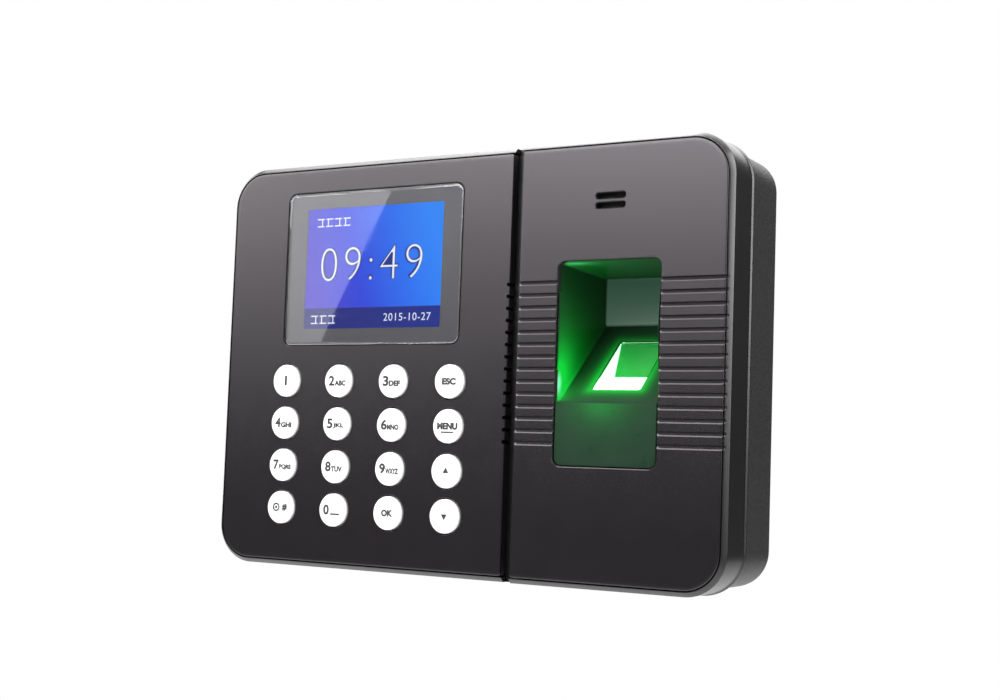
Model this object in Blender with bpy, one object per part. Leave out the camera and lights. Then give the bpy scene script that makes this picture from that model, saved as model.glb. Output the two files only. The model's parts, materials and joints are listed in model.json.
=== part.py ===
"""A wall-mounted fingerprint terminal: keypad and display on the left, finger well on the right.

Metres, +Z up. X runs left to right and Y runs from the front (negative) to the wall. The origin is the
centre of the wall bracket's back face, which lies against the wall.
"""

import math

import bmesh
import bpy
from mathutils import Matrix, Vector

MM = 0.001
GAP = 0.3 * MM

# Body outline, seen from the front.
BODY_WIDTH = 169.8 * MM
BODY_HEIGHT = 123.1 * MM
RIM_OUTSET = 1.95 * MM
RIM_TOP_OUTSET = 0.45 * MM
RIM_BASE_OUTSET = 1.35 * MM
RIM_DROP = 0.15 * MM
CHAMFER_DEPTH = 1.35 * MM
RIB_INTO_RIM = 0.4 * MM
FACE_RADIUS = 10.2 * MM
PARTING_RADIUS = 11.4 * MM
FACE_HALF_W = BODY_WIDTH / 2 - RIM_OUTSET
FACE_HALF_H = BODY_HEIGHT / 2 - RIM_OUTSET

# Depths, from the front to the wall.
BODY_DEPTH = 37.0 * MM
FACE_STEP = 1.8 * MM
SIDE_BAND = 14.2 * MM
FASCIA_THICK = 2.6 * MM
FASCIA_EDGE = 0.35 * MM
FASCIA_WALL = 2.0 * MM
SCANNER_PLATE = 2.2 * MM
FLOOR_THICK = 2.0 * MM
WALL = 2.2 * MM
BRACKET_PROUD = 0.5 * MM
SCANNER_FACE_Y = -BODY_DEPTH
KEYPAD_FACE_Y = SCANNER_FACE_Y + FACE_STEP
FASCIA_BACK_Y = KEYPAD_FACE_Y + FASCIA_THICK
FLOOR_FRONT_Y = FASCIA_BACK_Y + GAP
FLOOR_BACK_Y = FLOOR_FRONT_Y + FLOOR_THICK
PARTING_Y = SCANNER_FACE_Y + SIDE_BAND
COVER_FRONT_Y = PARTING_Y + GAP
COVER_BACK_Y = -BRACKET_PROUD
COVER_INSET = 1.4 * MM
COVER_RADIUS = 10.2 * MM
COVER_EDGE = 1.6 * MM

# The channel between the two fascias.
CHANNEL_LEFT = 17.4 * MM
CHANNEL_WIDTH = 4.0 * MM
CHANNEL_RIGHT = CHANNEL_LEFT + CHANNEL_WIDTH
CHANNEL_CORNER = 0.8 * MM
CHANNEL_STRIP = 1.0 * MM
CHANNEL_STRIP_HIGH = 0.7 * MM

# Keypad.
KEY_PITCH_X = 19.6 * MM
KEY_PITCH_Z = 12.85 * MM
KEY_FIRST_X = -60.0 * MM
KEY_FIRST_Z = -5.35 * MM
KEY_RADIUS = 4.9 * MM
KEY_PROUD = 0.8 * MM
KEY_DOME = 0.45 * MM
KEY_EDGE = 0.35 * MM
KEY_CLEARANCE = 0.4 * MM
KEY_FLANGE = 1.0 * MM
KEY_FLANGE_THICK = 0.8 * MM
KEY_OPENING_MARGIN = 1.2 * MM
MAT_MARGIN = 8.6 * MM
MAT_THICK = 1.2 * MM
MAT_DOME_RADIUS = 3.6 * MM
BOARD_THICK = 1.6 * MM
KEYS = (
    ("key_1", "key_2", "key_3", "key_esc"),
    ("key_4", "key_5", "key_6", "key_menu"),
    ("key_7", "key_8", "key_9", "key_up"),
    ("key_power", "key_0", "key_ok", "key_down"),
)

# Display.
DISPLAY_X = -30.6 * MM
DISPLAY_Z = 29.0 * MM
LENS_WIDTH = 62.9 * MM
LENS_HEIGHT = 46.7 * MM
LENS_RADIUS = 2.5 * MM
LENS_THICK = 1.0 * MM
LENS_SEAM = 0.3 * MM
LENS_EDGE = 0.2 * MM
GASKET_THICK = 0.4 * MM
GASKET_INSET = 1.0 * MM
SIGHT_RADIUS = 1.0 * MM
LEDGE_SIDE = 3.95 * MM
LEDGE_TOP = 2.85 * MM
PANEL_LAP = 1.2 * MM
PANEL_THICK = 2.2 * MM
TRAY_WALL = 1.4 * MM
TRAY_BACK = 1.2 * MM
TRAY_RADIUS = 1.0 * MM
PANEL_RADIUS = 0.5 * MM
RIBBON_WIDTH = 18.0 * MM
RIBBON_THICK = 0.4 * MM
RIBBON_ABOVE_FOOT = 2.5 * MM
RIBBON_DROP = 6.0 * MM
RIBBON_BEND = 2.0 * MM
RIBBON_SLOT = 3.0 * MM

# Scanner fascia and finger well.
WINDOW_X = 48.95 * MM
WINDOW_Z = -0.25 * MM
WINDOW_WIDTH = 31.1 * MM
WINDOW_HEIGHT = 56.6 * MM
WINDOW_RADIUS = 2.5 * MM
RIB_COUNT = 14
RIB_PITCH = 3.42 * MM
RIB_GROOVE_HIGH = 1.0 * MM
RIB_GROOVE_DEEP = 0.6 * MM
NOTCH_DEEP = 1.0 * MM
SLOT_PITCH = 2.65 * MM
SLOT_LENGTH = 9.0 * MM
SLOT_HIGH = 1.8 * MM
WELL_WALL = 1.5 * MM
WELL_DEPTH = 29.5 * MM
WELL_DRAFT = 0.8 * MM
CEILING_DROP = 1.3 * MM
PLATFORM_RISE = 13.1 * MM
PLATFORM_FALL = 11.0 * MM
PLATFORM_THICK = 1.6 * MM
FRONT_PLATE_RECESS = 0.6 * MM

# Optical sensor, in the platform's own frame: u along X, v up the slope, w out of it.
PRISM_X = 49.5 * MM
PRISM_UP_SLOPE = 0.8 * MM
PRISM_WIDTH = 15.2 * MM
PRISM_LENGTH = 23.6 * MM
PRISM_APEX_V = 2.0 * MM
PRISM_APEX_DEEP = 11.0 * MM
PRISM_EDGE_THICK = 1.5 * MM
PRISM_KEEL = 2.0 * MM
PRISM_SEAT_THICK = 2.2 * MM
PRISM_SEAT_ROOM = 0.2 * MM
PRISM_SEAT_BELOW = 0.4 * MM
SENSOR_WALL = 2.0 * MM
SENSOR_SHOULDER_DEEP = 7.0 * MM
SENSOR_FOOT_WIDTH = 12.0 * MM
SENSOR_FOOT_V = 1.0 * MM
SENSOR_BOARD_LENGTH = 17.0 * MM
SENSOR_BOARD_V = -0.5 * MM
CAMERA_GAP = 0.8 * MM
SENSOR_DEEP = 15.5 * MM
CAMERA_RADIUS = 3.0 * MM

# Speaker.
SPEAKER_ABOVE_WINDOW = 16.15 * MM
SPEAKER_RADIUS = 10.5 * MM
SPEAKER_DEEP = 5.0 * MM
SPEAKER_SEAL = 0.6 * MM
SPEAKER_SEAL_WIDTH = 2.0 * MM
SPEAKER_MAGNET = 0.62
SPEAKER_LEAD_RADIUS = 0.8 * MM
SENSOR_CABLE_RADIUS = 1.0 * MM

# Boards, sockets and fasteners.
BOARD_SIDE_GAP = 1.8 * MM
BOARD_CHANNEL_GAP = 0.9 * MM
MAIN_BOARD_HALF_H = 49.0 * MM
BOARD_BEHIND_PARTING = 1.3 * MM
BOARD_SCREW_INSET = 3.3 * MM
BOARD_SCREW_RADIUS = 1.1 * MM
BOARD_SCREW_HEAD = 2.1 * MM
BOARD_SCREW_HEAD_HIGH = 1.6 * MM
POST_RADIUS = 3.0 * MM
CASE_SCREW_SIDE_INSET = 11.4 * MM
CASE_SCREW_TOP_INSET = 8.05 * MM
CASE_SCREW_RADIUS = 1.5 * MM
CASE_SCREW_HEAD = 3.0 * MM
CASE_SCREW_HEAD_HIGH = 2.4 * MM
SCREW_TIP_GAP = 2.0 * MM
CASE_SCREW_SEAT_DEEP = 9.5 * MM
CASE_POST_RADIUS = 4.3 * MM
CHIP_X = -27.0 * MM
CHIP_Z = 9.0 * MM
CHIP_SIZE = 14.0 * MM
CHIP_THICK = 1.2 * MM
CELL_PLACE = (-8.0 * MM, -26.0 * MM)
CELL_RADIUS = 10.0 * MM
CELL_THICK = 3.2 * MM
CELL_LIFT = 1.0 * MM
CELL_PROUD = 0.6 * MM
HOLDER_WALL = 1.5 * MM
CAPACITOR_PLACE = (-56.0 * MM, -40.0 * MM)
CAPACITOR_RADIUS = 4.0 * MM
CAPACITOR_HIGH = 11.0 * MM
USB_Z = -8.0 * MM
USB_WIDTH = 13.1 * MM
USB_HIGH = 5.9 * MM
USB_LENGTH = 14.0 * MM
USB_MOUTH_WIDTH = 11.9 * MM
USB_MOUTH_HIGH = 4.8 * MM
USB_MOUTH_DEEP = 9.5 * MM
JACK_Z = -30.0 * MM
JACK_WIDTH = 9.0 * MM
JACK_HIGH = 10.8 * MM
JACK_LENGTH = 14.0 * MM
JACK_HOLE_RADIUS = 3.0 * MM
JACK_HOLE_DEEP = 9.0 * MM
JACK_PIN_RADIUS = 0.9 * MM

# Wall bracket.
BRACKET_HALF_W = 48.0 * MM
BRACKET_HALF_H = 52.0 * MM
BRACKET_THICK = 2.0 * MM
BRACKET_RADIUS = 2.7 * MM
RECESS_RADIUS = 3.0 * MM
BRACKET_HOLE_X = 35.0 * MM
BRACKET_HOLE_Z = 26.0 * MM
BRACKET_HOLE_RADIUS = 2.3 * MM
HOOK_X = 20.0 * MM
HOOK_Z = 34.0 * MM
HOOK_WIDTH = 8.0 * MM
HOOK_THICK = 2.0 * MM
HOOK_RISE = 4.0 * MM
HOOK_LIP = 1.5 * MM
HOOK_CLEARANCE = 0.6 * MM
HOOK_SLOT_DROP = 7.0 * MM
LUG_WIDTH = 14.0 * MM
LUG_LENGTH = 10.0 * MM
LUG_THICK = 2.0 * MM
LUG_Z = -49.0 * MM
LOCK_SCREW_Y = -8.4 * MM
LOCK_SCREW_HEAD_HIGH = 2.1 * MM
LOCK_SCREW_SUNK = 0.2 * MM
LOCK_SCREW_PAST_LUG = 3.0 * MM
LOCK_BOSS_HALF_W = 6.0 * MM
LOCK_BOSS_HALF_Y = 4.5 * MM
LOCK_BOSS_HIGH = 5.5 * MM
LOCK_SEAT_DEEP = 2.6 * MM
LOCK_HOLE_DEEP = 7.0 * MM

LEAD_STEPS = 4
FAR = 200 * MM


# ---------------------------------------------------------------- scene and materials


def clear_scene():
    for item in list(bpy.data.objects):
        bpy.data.objects.remove(item, do_unlink=True)


def make_material(name, colour, roughness, metallic=0.0, transmission=0.0):
    made = bpy.data.materials.new(name)
    made.use_nodes = True
    shader = made.node_tree.nodes["Principled BSDF"]
    shader.inputs["Base Color"].default_value = (*colour, 1.0)
    shader.inputs["Roughness"].default_value = roughness
    shader.inputs["Metallic"].default_value = metallic
    shader.inputs["Transmission Weight"].default_value = transmission
    made.diffuse_color = (*colour, 1.0)
    return made


# ---------------------------------------------------------------- shapes


def finish(bm, name, material=None):
    """Turns a bmesh into an object. Without a material it is a cutter."""
    bmesh.ops.recalc_face_normals(bm, faces=bm.faces)
    mesh = bpy.data.meshes.new(name)
    bm.to_mesh(mesh)
    bm.free()
    made = bpy.data.objects.new(name, mesh)
    bpy.context.scene.collection.objects.link(made)
    if material is None:
        made.hide_render = True
        made.display_type = "WIRE"
    else:
        mesh.materials.append(material)
        mesh.shade_smooth()
        mesh.set_sharp_from_angle(angle=math.radians(35))
    return made


def rounded(half_w, half_h, radius, centre=(0.0, 0.0), steps=6):
    """A rounded rectangle in X and Z, anticlockwise seen from the front."""
    points = []
    for quarter, (sx, sz) in enumerate(((1, 1), (-1, 1), (-1, -1), (1, -1))):
        middle_x = centre[0] + sx * (half_w - radius)
        middle_z = centre[1] + sz * (half_h - radius)
        for step in range(steps + 1):
            angle = math.radians(90 * (quarter + step / steps))
            x = middle_x + radius * math.cos(angle)
            z = middle_z + radius * math.sin(angle)
            points.append((x, z))
    return points


def circle(radius, centre=(0.0, 0.0), steps=16):
    turns = [2 * math.pi * step / steps for step in range(steps)]
    return [(centre[0] + radius * math.cos(t), centre[1] + radius * math.sin(t)) for t in turns]


def stack(bm, sections):
    """Joins outlines of the same length, each (y, points), into one closed body with end caps."""
    rings = [[bm.verts.new((x, y, z)) for x, z in points] for y, points in sections]
    for first, second in zip(rings, rings[1:]):
        for here, ahead in zip(range(len(first)), [*range(1, len(first)), 0]):
            bm.faces.new((first[here], first[ahead], second[ahead], second[here]))
    bm.faces.new(rings[0])
    bm.faces.new(rings[-1])


def add_box(bm, x, y, z):
    """A box between two values on each axis."""
    corners = [(x[0], z[0]), (x[1], z[0]), (x[1], z[1]), (x[0], z[1])]
    stack(bm, [(y[0], corners), (y[1], corners)])


def add_tube(bm, centre, radius, y, steps=16):
    outline = circle(radius, centre, steps)
    stack(bm, [(y[0], outline), (y[1], outline)])


def add_run(bm, profile, x_low, x_high):
    """A profile of (y, z) points carried along X. The ends may be values or functions of y."""
    low = x_low if callable(x_low) else lambda y: x_low
    high = x_high if callable(x_high) else lambda y: x_high
    left = [bm.verts.new((low(y), y, z)) for y, z in profile]
    right = [bm.verts.new((high(y), y, z)) for y, z in profile]
    for here, ahead in zip(range(len(profile)), [*range(1, len(profile)), 0]):
        bm.faces.new((left[here], left[ahead], right[ahead], right[here]))
    bm.faces.new(left)
    bm.faces.new(right)


def solid(name, material, *adders):
    """An object, or a cutter when the material is None, from functions that each add one body."""
    bm = bmesh.new()
    for adder in adders:
        adder(bm)
    return finish(bm, name, material)


def combine(target, operation, tool):
    modifier = target.modifiers.new(tool.name, "BOOLEAN")
    modifier.operation = operation
    modifier.solver = "EXACT"
    modifier.object = tool
    return target


def cut(target, name, *adders):
    return combine(target, "DIFFERENCE", solid(f"{target.name}_{name}_cutter", None, *adders))


def join(target, name, *adders):
    return combine(target, "UNION", solid(f"{target.name}_{name}_piece", None, *adders))


# ---------------------------------------------------------------- places that pieces share


def key_places():
    """Each key's name with its centre, row by row from the top."""
    for row, names in enumerate(KEYS):
        for column, name in enumerate(names):
            x = KEY_FIRST_X + column * KEY_PITCH_X
            yield name, x, KEY_FIRST_Z - row * KEY_PITCH_Z


def keypad_box(margin):
    """The keypad's outline, from its outer key centres and a margin."""
    right = KEY_FIRST_X + 3 * KEY_PITCH_X
    bottom = KEY_FIRST_Z - 3 * KEY_PITCH_Z
    return (KEY_FIRST_X - margin, right + margin), (bottom - margin, KEY_FIRST_Z + margin)


def rib_heights():
    middle = (RIB_COUNT - 1) / 2
    return [(middle - index) * RIB_PITCH for index in range(RIB_COUNT)]


def case_screw_places():
    x = BODY_WIDTH / 2 - CASE_SCREW_SIDE_INSET
    z = BODY_HEIGHT / 2 - CASE_SCREW_TOP_INSET
    return [(sx * x, sz * z) for sz in (1, -1) for sx in (-1, 1)]


def board_screw_places():
    left = MAIN_BOARD_LEFT + BOARD_SCREW_INSET
    right = MAIN_BOARD_RIGHT - BOARD_SCREW_INSET
    z = MAIN_BOARD_HALF_H - BOARD_SCREW_INSET
    return [(x, sz * z) for sz in (1, -1) for x in (left, right)]


KEY_FLANGE_RADIUS = KEY_RADIUS + KEY_FLANGE
KEY_FLANGE_BACK_Y = FLOOR_FRONT_Y + KEY_FLANGE_THICK
KEY_OPENING = KEY_FLANGE_RADIUS + KEY_OPENING_MARGIN
MAT_FRONT_Y = FLOOR_BACK_Y + GAP
KEY_BOARD_Y = MAT_FRONT_Y + MAT_THICK + GAP
LENS_BACK_Y = KEYPAD_FACE_Y + LENS_THICK
SIGHT_WIDTH = LENS_WIDTH - 2 * LEDGE_SIDE
SIGHT_HEIGHT = LENS_HEIGHT - 2 * LEDGE_TOP
PANEL_WIDTH = SIGHT_WIDTH + 2 * PANEL_LAP
PANEL_HEIGHT = SIGHT_HEIGHT + 2 * PANEL_LAP
GASKET_Y = LENS_BACK_Y + GAP
LENS_LEDGE_Y = GASKET_Y + GASKET_THICK + GAP
TRAY_HALF_W = PANEL_WIDTH / 2 + GAP + TRAY_WALL
TRAY_HALF_H = PANEL_HEIGHT / 2 + GAP + TRAY_WALL
PANEL_BACK_Y = FLOOR_FRONT_Y + PANEL_THICK
TRAY_BACK_Y = PANEL_BACK_Y + GAP + TRAY_BACK
MAIN_BOARD_Y = PARTING_Y + BOARD_BEHIND_PARTING
MAIN_BOARD_BACK_Y = MAIN_BOARD_Y + BOARD_THICK
PART_Y = MAIN_BOARD_BACK_Y + GAP
COVER_HALF_W = BODY_WIDTH / 2 - COVER_INSET
COVER_HALF_H = BODY_HEIGHT / 2 - COVER_INSET
MAIN_BOARD_LEFT = -COVER_HALF_W + WALL + BOARD_SIDE_GAP
MAIN_BOARD_RIGHT = CHANNEL_LEFT - BOARD_CHANNEL_GAP
CASE_SCREW_SEAT_Y = COVER_BACK_Y - CASE_SCREW_SEAT_DEEP
BRACKET_FRONT_Y = -BRACKET_THICK
RECESS_Y = BRACKET_FRONT_Y - GAP
RECESS_WALL_Y = RECESS_Y - WALL
POST_END_Y = MAIN_BOARD_Y - GAP
CASE_POST_END_Y = PARTING_Y
CASE_BOSS_END_Y = CASE_POST_END_Y + GAP
WELL_HALF_W = WINDOW_WIDTH / 2
WELL_TOP_Z = WINDOW_Z + WINDOW_HEIGHT / 2
WELL_BOTTOM_Z = WINDOW_Z - WINDOW_HEIGHT / 2
WELL_BACK_Y = SCANNER_FACE_Y + WELL_DEPTH
PLATFORM_BACK_Z = WINDOW_Z + PLATFORM_RISE
PLATFORM_FRONT_Z = WINDOW_Z - PLATFORM_FALL
SPEAKER_X = WINDOW_X
SPEAKER_Z = WELL_TOP_Z + SPEAKER_ABOVE_WINDOW
SLOT_Z = (SPEAKER_Z + SLOT_PITCH / 2, SPEAKER_Z - SLOT_PITCH / 2)
WELL_FRONT_Y = SCANNER_FACE_Y + SCANNER_PLATE + GAP
FRONT_PLATE_Y = SCANNER_FACE_Y + FRONT_PLATE_RECESS
WELL_OUT_W = WELL_HALF_W + WELL_WALL
SPEAKER_SEAL_Y = SCANNER_FACE_Y + SCANNER_PLATE + GAP
SPEAKER_Y = SPEAKER_SEAL_Y + SPEAKER_SEAL + GAP
SLOPE = Vector((0, WELL_BACK_Y - FRONT_PLATE_Y, PLATFORM_BACK_Z - PLATFORM_FRONT_Z)).normalized()
SLOPE_OUT = Vector((0, -SLOPE.z, SLOPE.y))


def slope_z(y, below=0.0):
    """The platform's height at y, or the height of a plane that far below it."""
    rise = (PLATFORM_BACK_Z - PLATFORM_FRONT_Z) / (WELL_BACK_Y - FRONT_PLATE_Y)
    return PLATFORM_BACK_Z + (y - WELL_BACK_Y) * rise - below / SLOPE.y


def well_half_width(y):
    """The well narrows a little towards its back, as a moulded pocket does."""
    depth = (y - SCANNER_FACE_Y) / (WELL_BACK_Y - SCANNER_FACE_Y)
    return WELL_HALF_W - WELL_DRAFT * max(0.0, min(1.0, depth))


def sensor_frame():
    """The matrix from (u, v, w) to the world, at the middle of the prism's window."""
    middle_y = (FRONT_PLATE_Y + WELL_BACK_Y) / 2 - PRISM_UP_SLOPE * SLOPE.y
    place = Vector((PRISM_X, middle_y, slope_z(middle_y)))
    axes = Matrix((Vector((1, 0, 0)), SLOPE, SLOPE_OUT)).transposed().to_4x4()
    return Matrix.Translation(place) @ axes


def on_slope(v, w):
    """The world (y, z) of a point up the slope by v and out of it by w."""
    place = sensor_frame() @ Vector((0, v, w))
    return place.y, place.z


# ---------------------------------------------------------------- shells


def housing_block(bm, face_y):
    """The front shell's outside: side band, chamfer and narrow top land, for one face height."""
    levels = (
        (PARTING_Y, RIM_OUTSET, PARTING_RADIUS),
        (face_y + CHAMFER_DEPTH, RIM_BASE_OUTSET, FACE_RADIUS + RIM_BASE_OUTSET),
        (face_y + RIM_DROP, RIM_TOP_OUTSET, FACE_RADIUS + RIM_TOP_OUTSET),
    )
    stack(bm, [(y, rounded(FACE_HALF_W + out, FACE_HALF_H + out, r)) for y, out, r in levels])


def lower_left_rim(body):
    """Takes the rim beside the keypad fascia down by the face step, with the same chamfer."""
    middle_x = (CHANNEL_LEFT + CHANNEL_RIGHT) / 2
    land_y = KEYPAD_FACE_Y + RIM_DROP
    base_y = KEYPAD_FACE_Y + CHAMFER_DEPTH
    cut(body, "left_step", lambda bm: add_box(bm, (-FAR, middle_x), (-FAR, land_y), (-FAR, FAR)))
    zone = solid("front_housing_left_zone", None, lambda bm: add_box(
        bm, (-FAR, middle_x), (land_y - MM, base_y), (-FAR, FAR)))
    cut(zone, "keep", lambda bm: stack(bm, [
        (y, rounded(FACE_HALF_W + out, FACE_HALF_H + out, FACE_RADIUS + out))
        for y, out in ((land_y, RIM_TOP_OUTSET), (base_y, RIM_BASE_OUTSET), (PARTING_Y, RIM_BASE_OUTSET))
    ]))
    combine(body, "DIFFERENCE", zone)


def make_front_housing(material):
    body = solid("front_housing", material, lambda bm: housing_block(bm, SCANNER_FACE_Y))
    lower_left_rim(body)
    middle_x = (CHANNEL_LEFT + CHANNEL_RIGHT) / 2

    pocket = rounded(FACE_HALF_W + GAP, FACE_HALF_H + GAP, FACE_RADIUS + GAP)
    cut(body, "face", lambda bm: stack(bm, [(-FAR, pocket), (FLOOR_FRONT_Y, pocket)]))
    inset = WALL + RIM_BASE_OUTSET
    inner = rounded(BODY_WIDTH / 2 - inset, BODY_HEIGHT / 2 - inset, FACE_RADIUS)
    cut(body, "inside", lambda bm: stack(bm, [(FLOOR_BACK_Y, inner), (FAR, inner)]))

    key_x, key_z = keypad_box(KEY_OPENING)
    well_x = (WINDOW_X - WELL_OUT_W - GAP, WINDOW_X + WELL_OUT_W + GAP)
    well_z = (WELL_BOTTOM_Z - WELL_WALL - GAP, WELL_TOP_Z + WELL_WALL + GAP)
    tray_x = (DISPLAY_X - TRAY_HALF_W - GAP, DISPLAY_X + TRAY_HALF_W + GAP)
    tray_z = (DISPLAY_Z - TRAY_HALF_H - GAP, DISPLAY_Z + TRAY_HALF_H + GAP)
    through = (FLOOR_FRONT_Y - MM, FLOOR_BACK_Y + MM)
    cut(
        body,
        "openings",
        lambda bm: add_box(bm, key_x, through, key_z),
        lambda bm: add_box(bm, well_x, through, well_z),
        lambda bm: add_box(bm, tray_x, through, tray_z),
        lambda bm: add_tube(bm, (SPEAKER_X, SPEAKER_Z), SPEAKER_RADIUS + MM, through, 32),
    )

    into_floor = FLOOR_BACK_Y - MM
    join(body, "posts", *[
        lambda bm, at=at: add_tube(bm, at, POST_RADIUS, (into_floor, POST_END_Y), 16)
        for at in board_screw_places()
    ])
    join(body, "case_posts", *[
        lambda bm, at=at: add_tube(bm, at, CASE_POST_RADIUS, (into_floor, CASE_POST_END_Y), 16)
        for at in case_screw_places()
    ])
    strip_x = (middle_x - CHANNEL_STRIP / 2, middle_x + CHANNEL_STRIP / 2)
    strip_y = (FLOOR_FRONT_Y - CHANNEL_STRIP_HIGH, FLOOR_FRONT_Y + MM)
    join(body, "strip", lambda bm: add_box(bm, strip_x, strip_y, (-FACE_HALF_H, FACE_HALF_H)))

    blind = FLOOR_BACK_Y + MM
    cut(body, "screw_holes", *[
        lambda bm, at=at: add_tube(bm, at, BOARD_SCREW_RADIUS + GAP, (blind, FAR), 16)
        for at in board_screw_places()
    ], *[
        lambda bm, at=at: add_tube(bm, at, CASE_SCREW_RADIUS + GAP, (blind, FAR), 16)
        for at in case_screw_places()
    ])
    channel = (CHANNEL_LEFT + GAP, CHANNEL_RIGHT - GAP)
    cut(body, "channel_ends", *[
        lambda bm, s=s: add_box(bm, channel, (-FAR, FLOOR_FRONT_Y), sorted((s * FACE_HALF_H, s * FAR)))
        for s in (1, -1)
    ])
    rim_x = (FACE_HALF_W - MM, FACE_HALF_W + RIM_TOP_OUTSET + RIB_INTO_RIM)
    rim_y = (-FAR, SCANNER_FACE_Y + RIB_GROOVE_DEEP)
    cut(body, "rib_ends", *[
        lambda bm, z=z: add_box(bm, rim_x, rim_y, (z - RIB_GROOVE_HIGH / 2, z + RIB_GROOVE_HIGH / 2))
        for z in rib_heights()
    ])
    return body


def corner_plate(bm, x_low, x_high, y_face, y_back, outer_side):
    """A face plate: big radii on its outer side, nearly square beside the channel, small front chamfer."""
    steps = 6

    def outline(inset):
        half_h = FACE_HALF_H - inset
        left, right = x_low + inset, x_high - inset
        points = []
        for quarter, (sx, sz) in enumerate(((1, 1), (-1, 1), (-1, -1), (1, -1))):
            radius = (FACE_RADIUS if sx == outer_side else CHANNEL_CORNER) - inset
            middle_x = right - radius if sx > 0 else left + radius
            middle_z = sz * (half_h - radius)
            for step in range(steps + 1):
                angle = math.radians(90 * (quarter + step / steps))
                points.append((middle_x + radius * math.cos(angle), middle_z + radius * math.sin(angle)))
        return points

    levels = ((y_face, FASCIA_EDGE), (y_face + FASCIA_EDGE, 0.0), (y_back, 0.0))
    stack(bm, [(y, outline(inset)) for y, inset in levels])


def make_keypad_fascia(material):
    body = solid("keypad_fascia", material, lambda bm: corner_plate(
        bm, -FACE_HALF_W, CHANNEL_LEFT, KEYPAD_FACE_Y, FASCIA_BACK_Y, -1))
    through = (KEYPAD_FACE_Y - MM, FASCIA_BACK_Y + MM)
    cut(body, "keys", *[
        lambda bm, at=(x, z): add_tube(bm, at, KEY_RADIUS + KEY_CLEARANCE, through)
        for _, x, z in key_places()
    ])
    centre = (DISPLAY_X, DISPLAY_Z)
    pocket_w, pocket_h = LENS_WIDTH / 2 + LENS_SEAM, LENS_HEIGHT / 2 + LENS_SEAM
    pocket = rounded(pocket_w, pocket_h, LENS_RADIUS + LENS_SEAM, centre, 4)
    sight = rounded(SIGHT_WIDTH / 2, SIGHT_HEIGHT / 2, SIGHT_RADIUS, centre, 4)
    cut(body, "lens_pocket", lambda bm: stack(bm, [(through[0], pocket), (LENS_LEDGE_Y, pocket)]))
    cut(body, "sight", lambda bm: stack(bm, [(through[0], sight), (through[1], sight)]))
    notch_x = (CHANNEL_LEFT - NOTCH_DEEP, CHANNEL_LEFT + MM)
    cut(body, "notches", *[
        lambda bm, z=z: add_box(bm, notch_x, through, (z - RIB_GROOVE_HIGH / 2, z + RIB_GROOVE_HIGH / 2))
        for z in rib_heights()
    ])
    return body


def make_scanner_fascia(material):
    body = solid("scanner_fascia", material, lambda bm: corner_plate(
        bm, CHANNEL_RIGHT, FACE_HALF_W, SCANNER_FACE_Y, FASCIA_BACK_Y, 1))
    back_x = (CHANNEL_RIGHT + FASCIA_WALL, FACE_HALF_W - FASCIA_WALL)
    middle = ((back_x[0] + back_x[1]) / 2, 0.0)
    hollow_w, hollow_h = (back_x[1] - back_x[0]) / 2, FACE_HALF_H - FASCIA_WALL
    hollow = rounded(hollow_w, hollow_h, FACE_RADIUS - FASCIA_WALL, middle, 4)
    cut(body, "back", lambda bm: stack(bm, [(SCANNER_FACE_Y + SCANNER_PLATE, hollow), (FAR, hollow)]))
    window = rounded(WINDOW_WIDTH / 2, WINDOW_HEIGHT / 2, WINDOW_RADIUS, (WINDOW_X, WINDOW_Z), 4)
    cut(body, "window", lambda bm: stack(bm, [(-FAR, window), (FAR, window)]))
    cut(body, "slots", *[
        lambda bm, z=z: stack(bm, [
            (y, rounded(SLOT_LENGTH / 2, SLOT_HIGH / 2, SLOT_HIGH / 2.01, (SPEAKER_X, z), 4))
            for y in (-FAR, FAR)
        ])
        for z in SLOT_Z
    ])
    groove_x = (CHANNEL_RIGHT - MM, FACE_HALF_W + MM)
    groove_y = (-FAR, SCANNER_FACE_Y + RIB_GROOVE_DEEP)
    cut(body, "ribs", *[
        lambda bm, z=z: add_box(bm, groove_x, groove_y, (z - RIB_GROOVE_HIGH / 2, z + RIB_GROOVE_HIGH / 2))
        for z in rib_heights()
    ])
    return body


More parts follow.
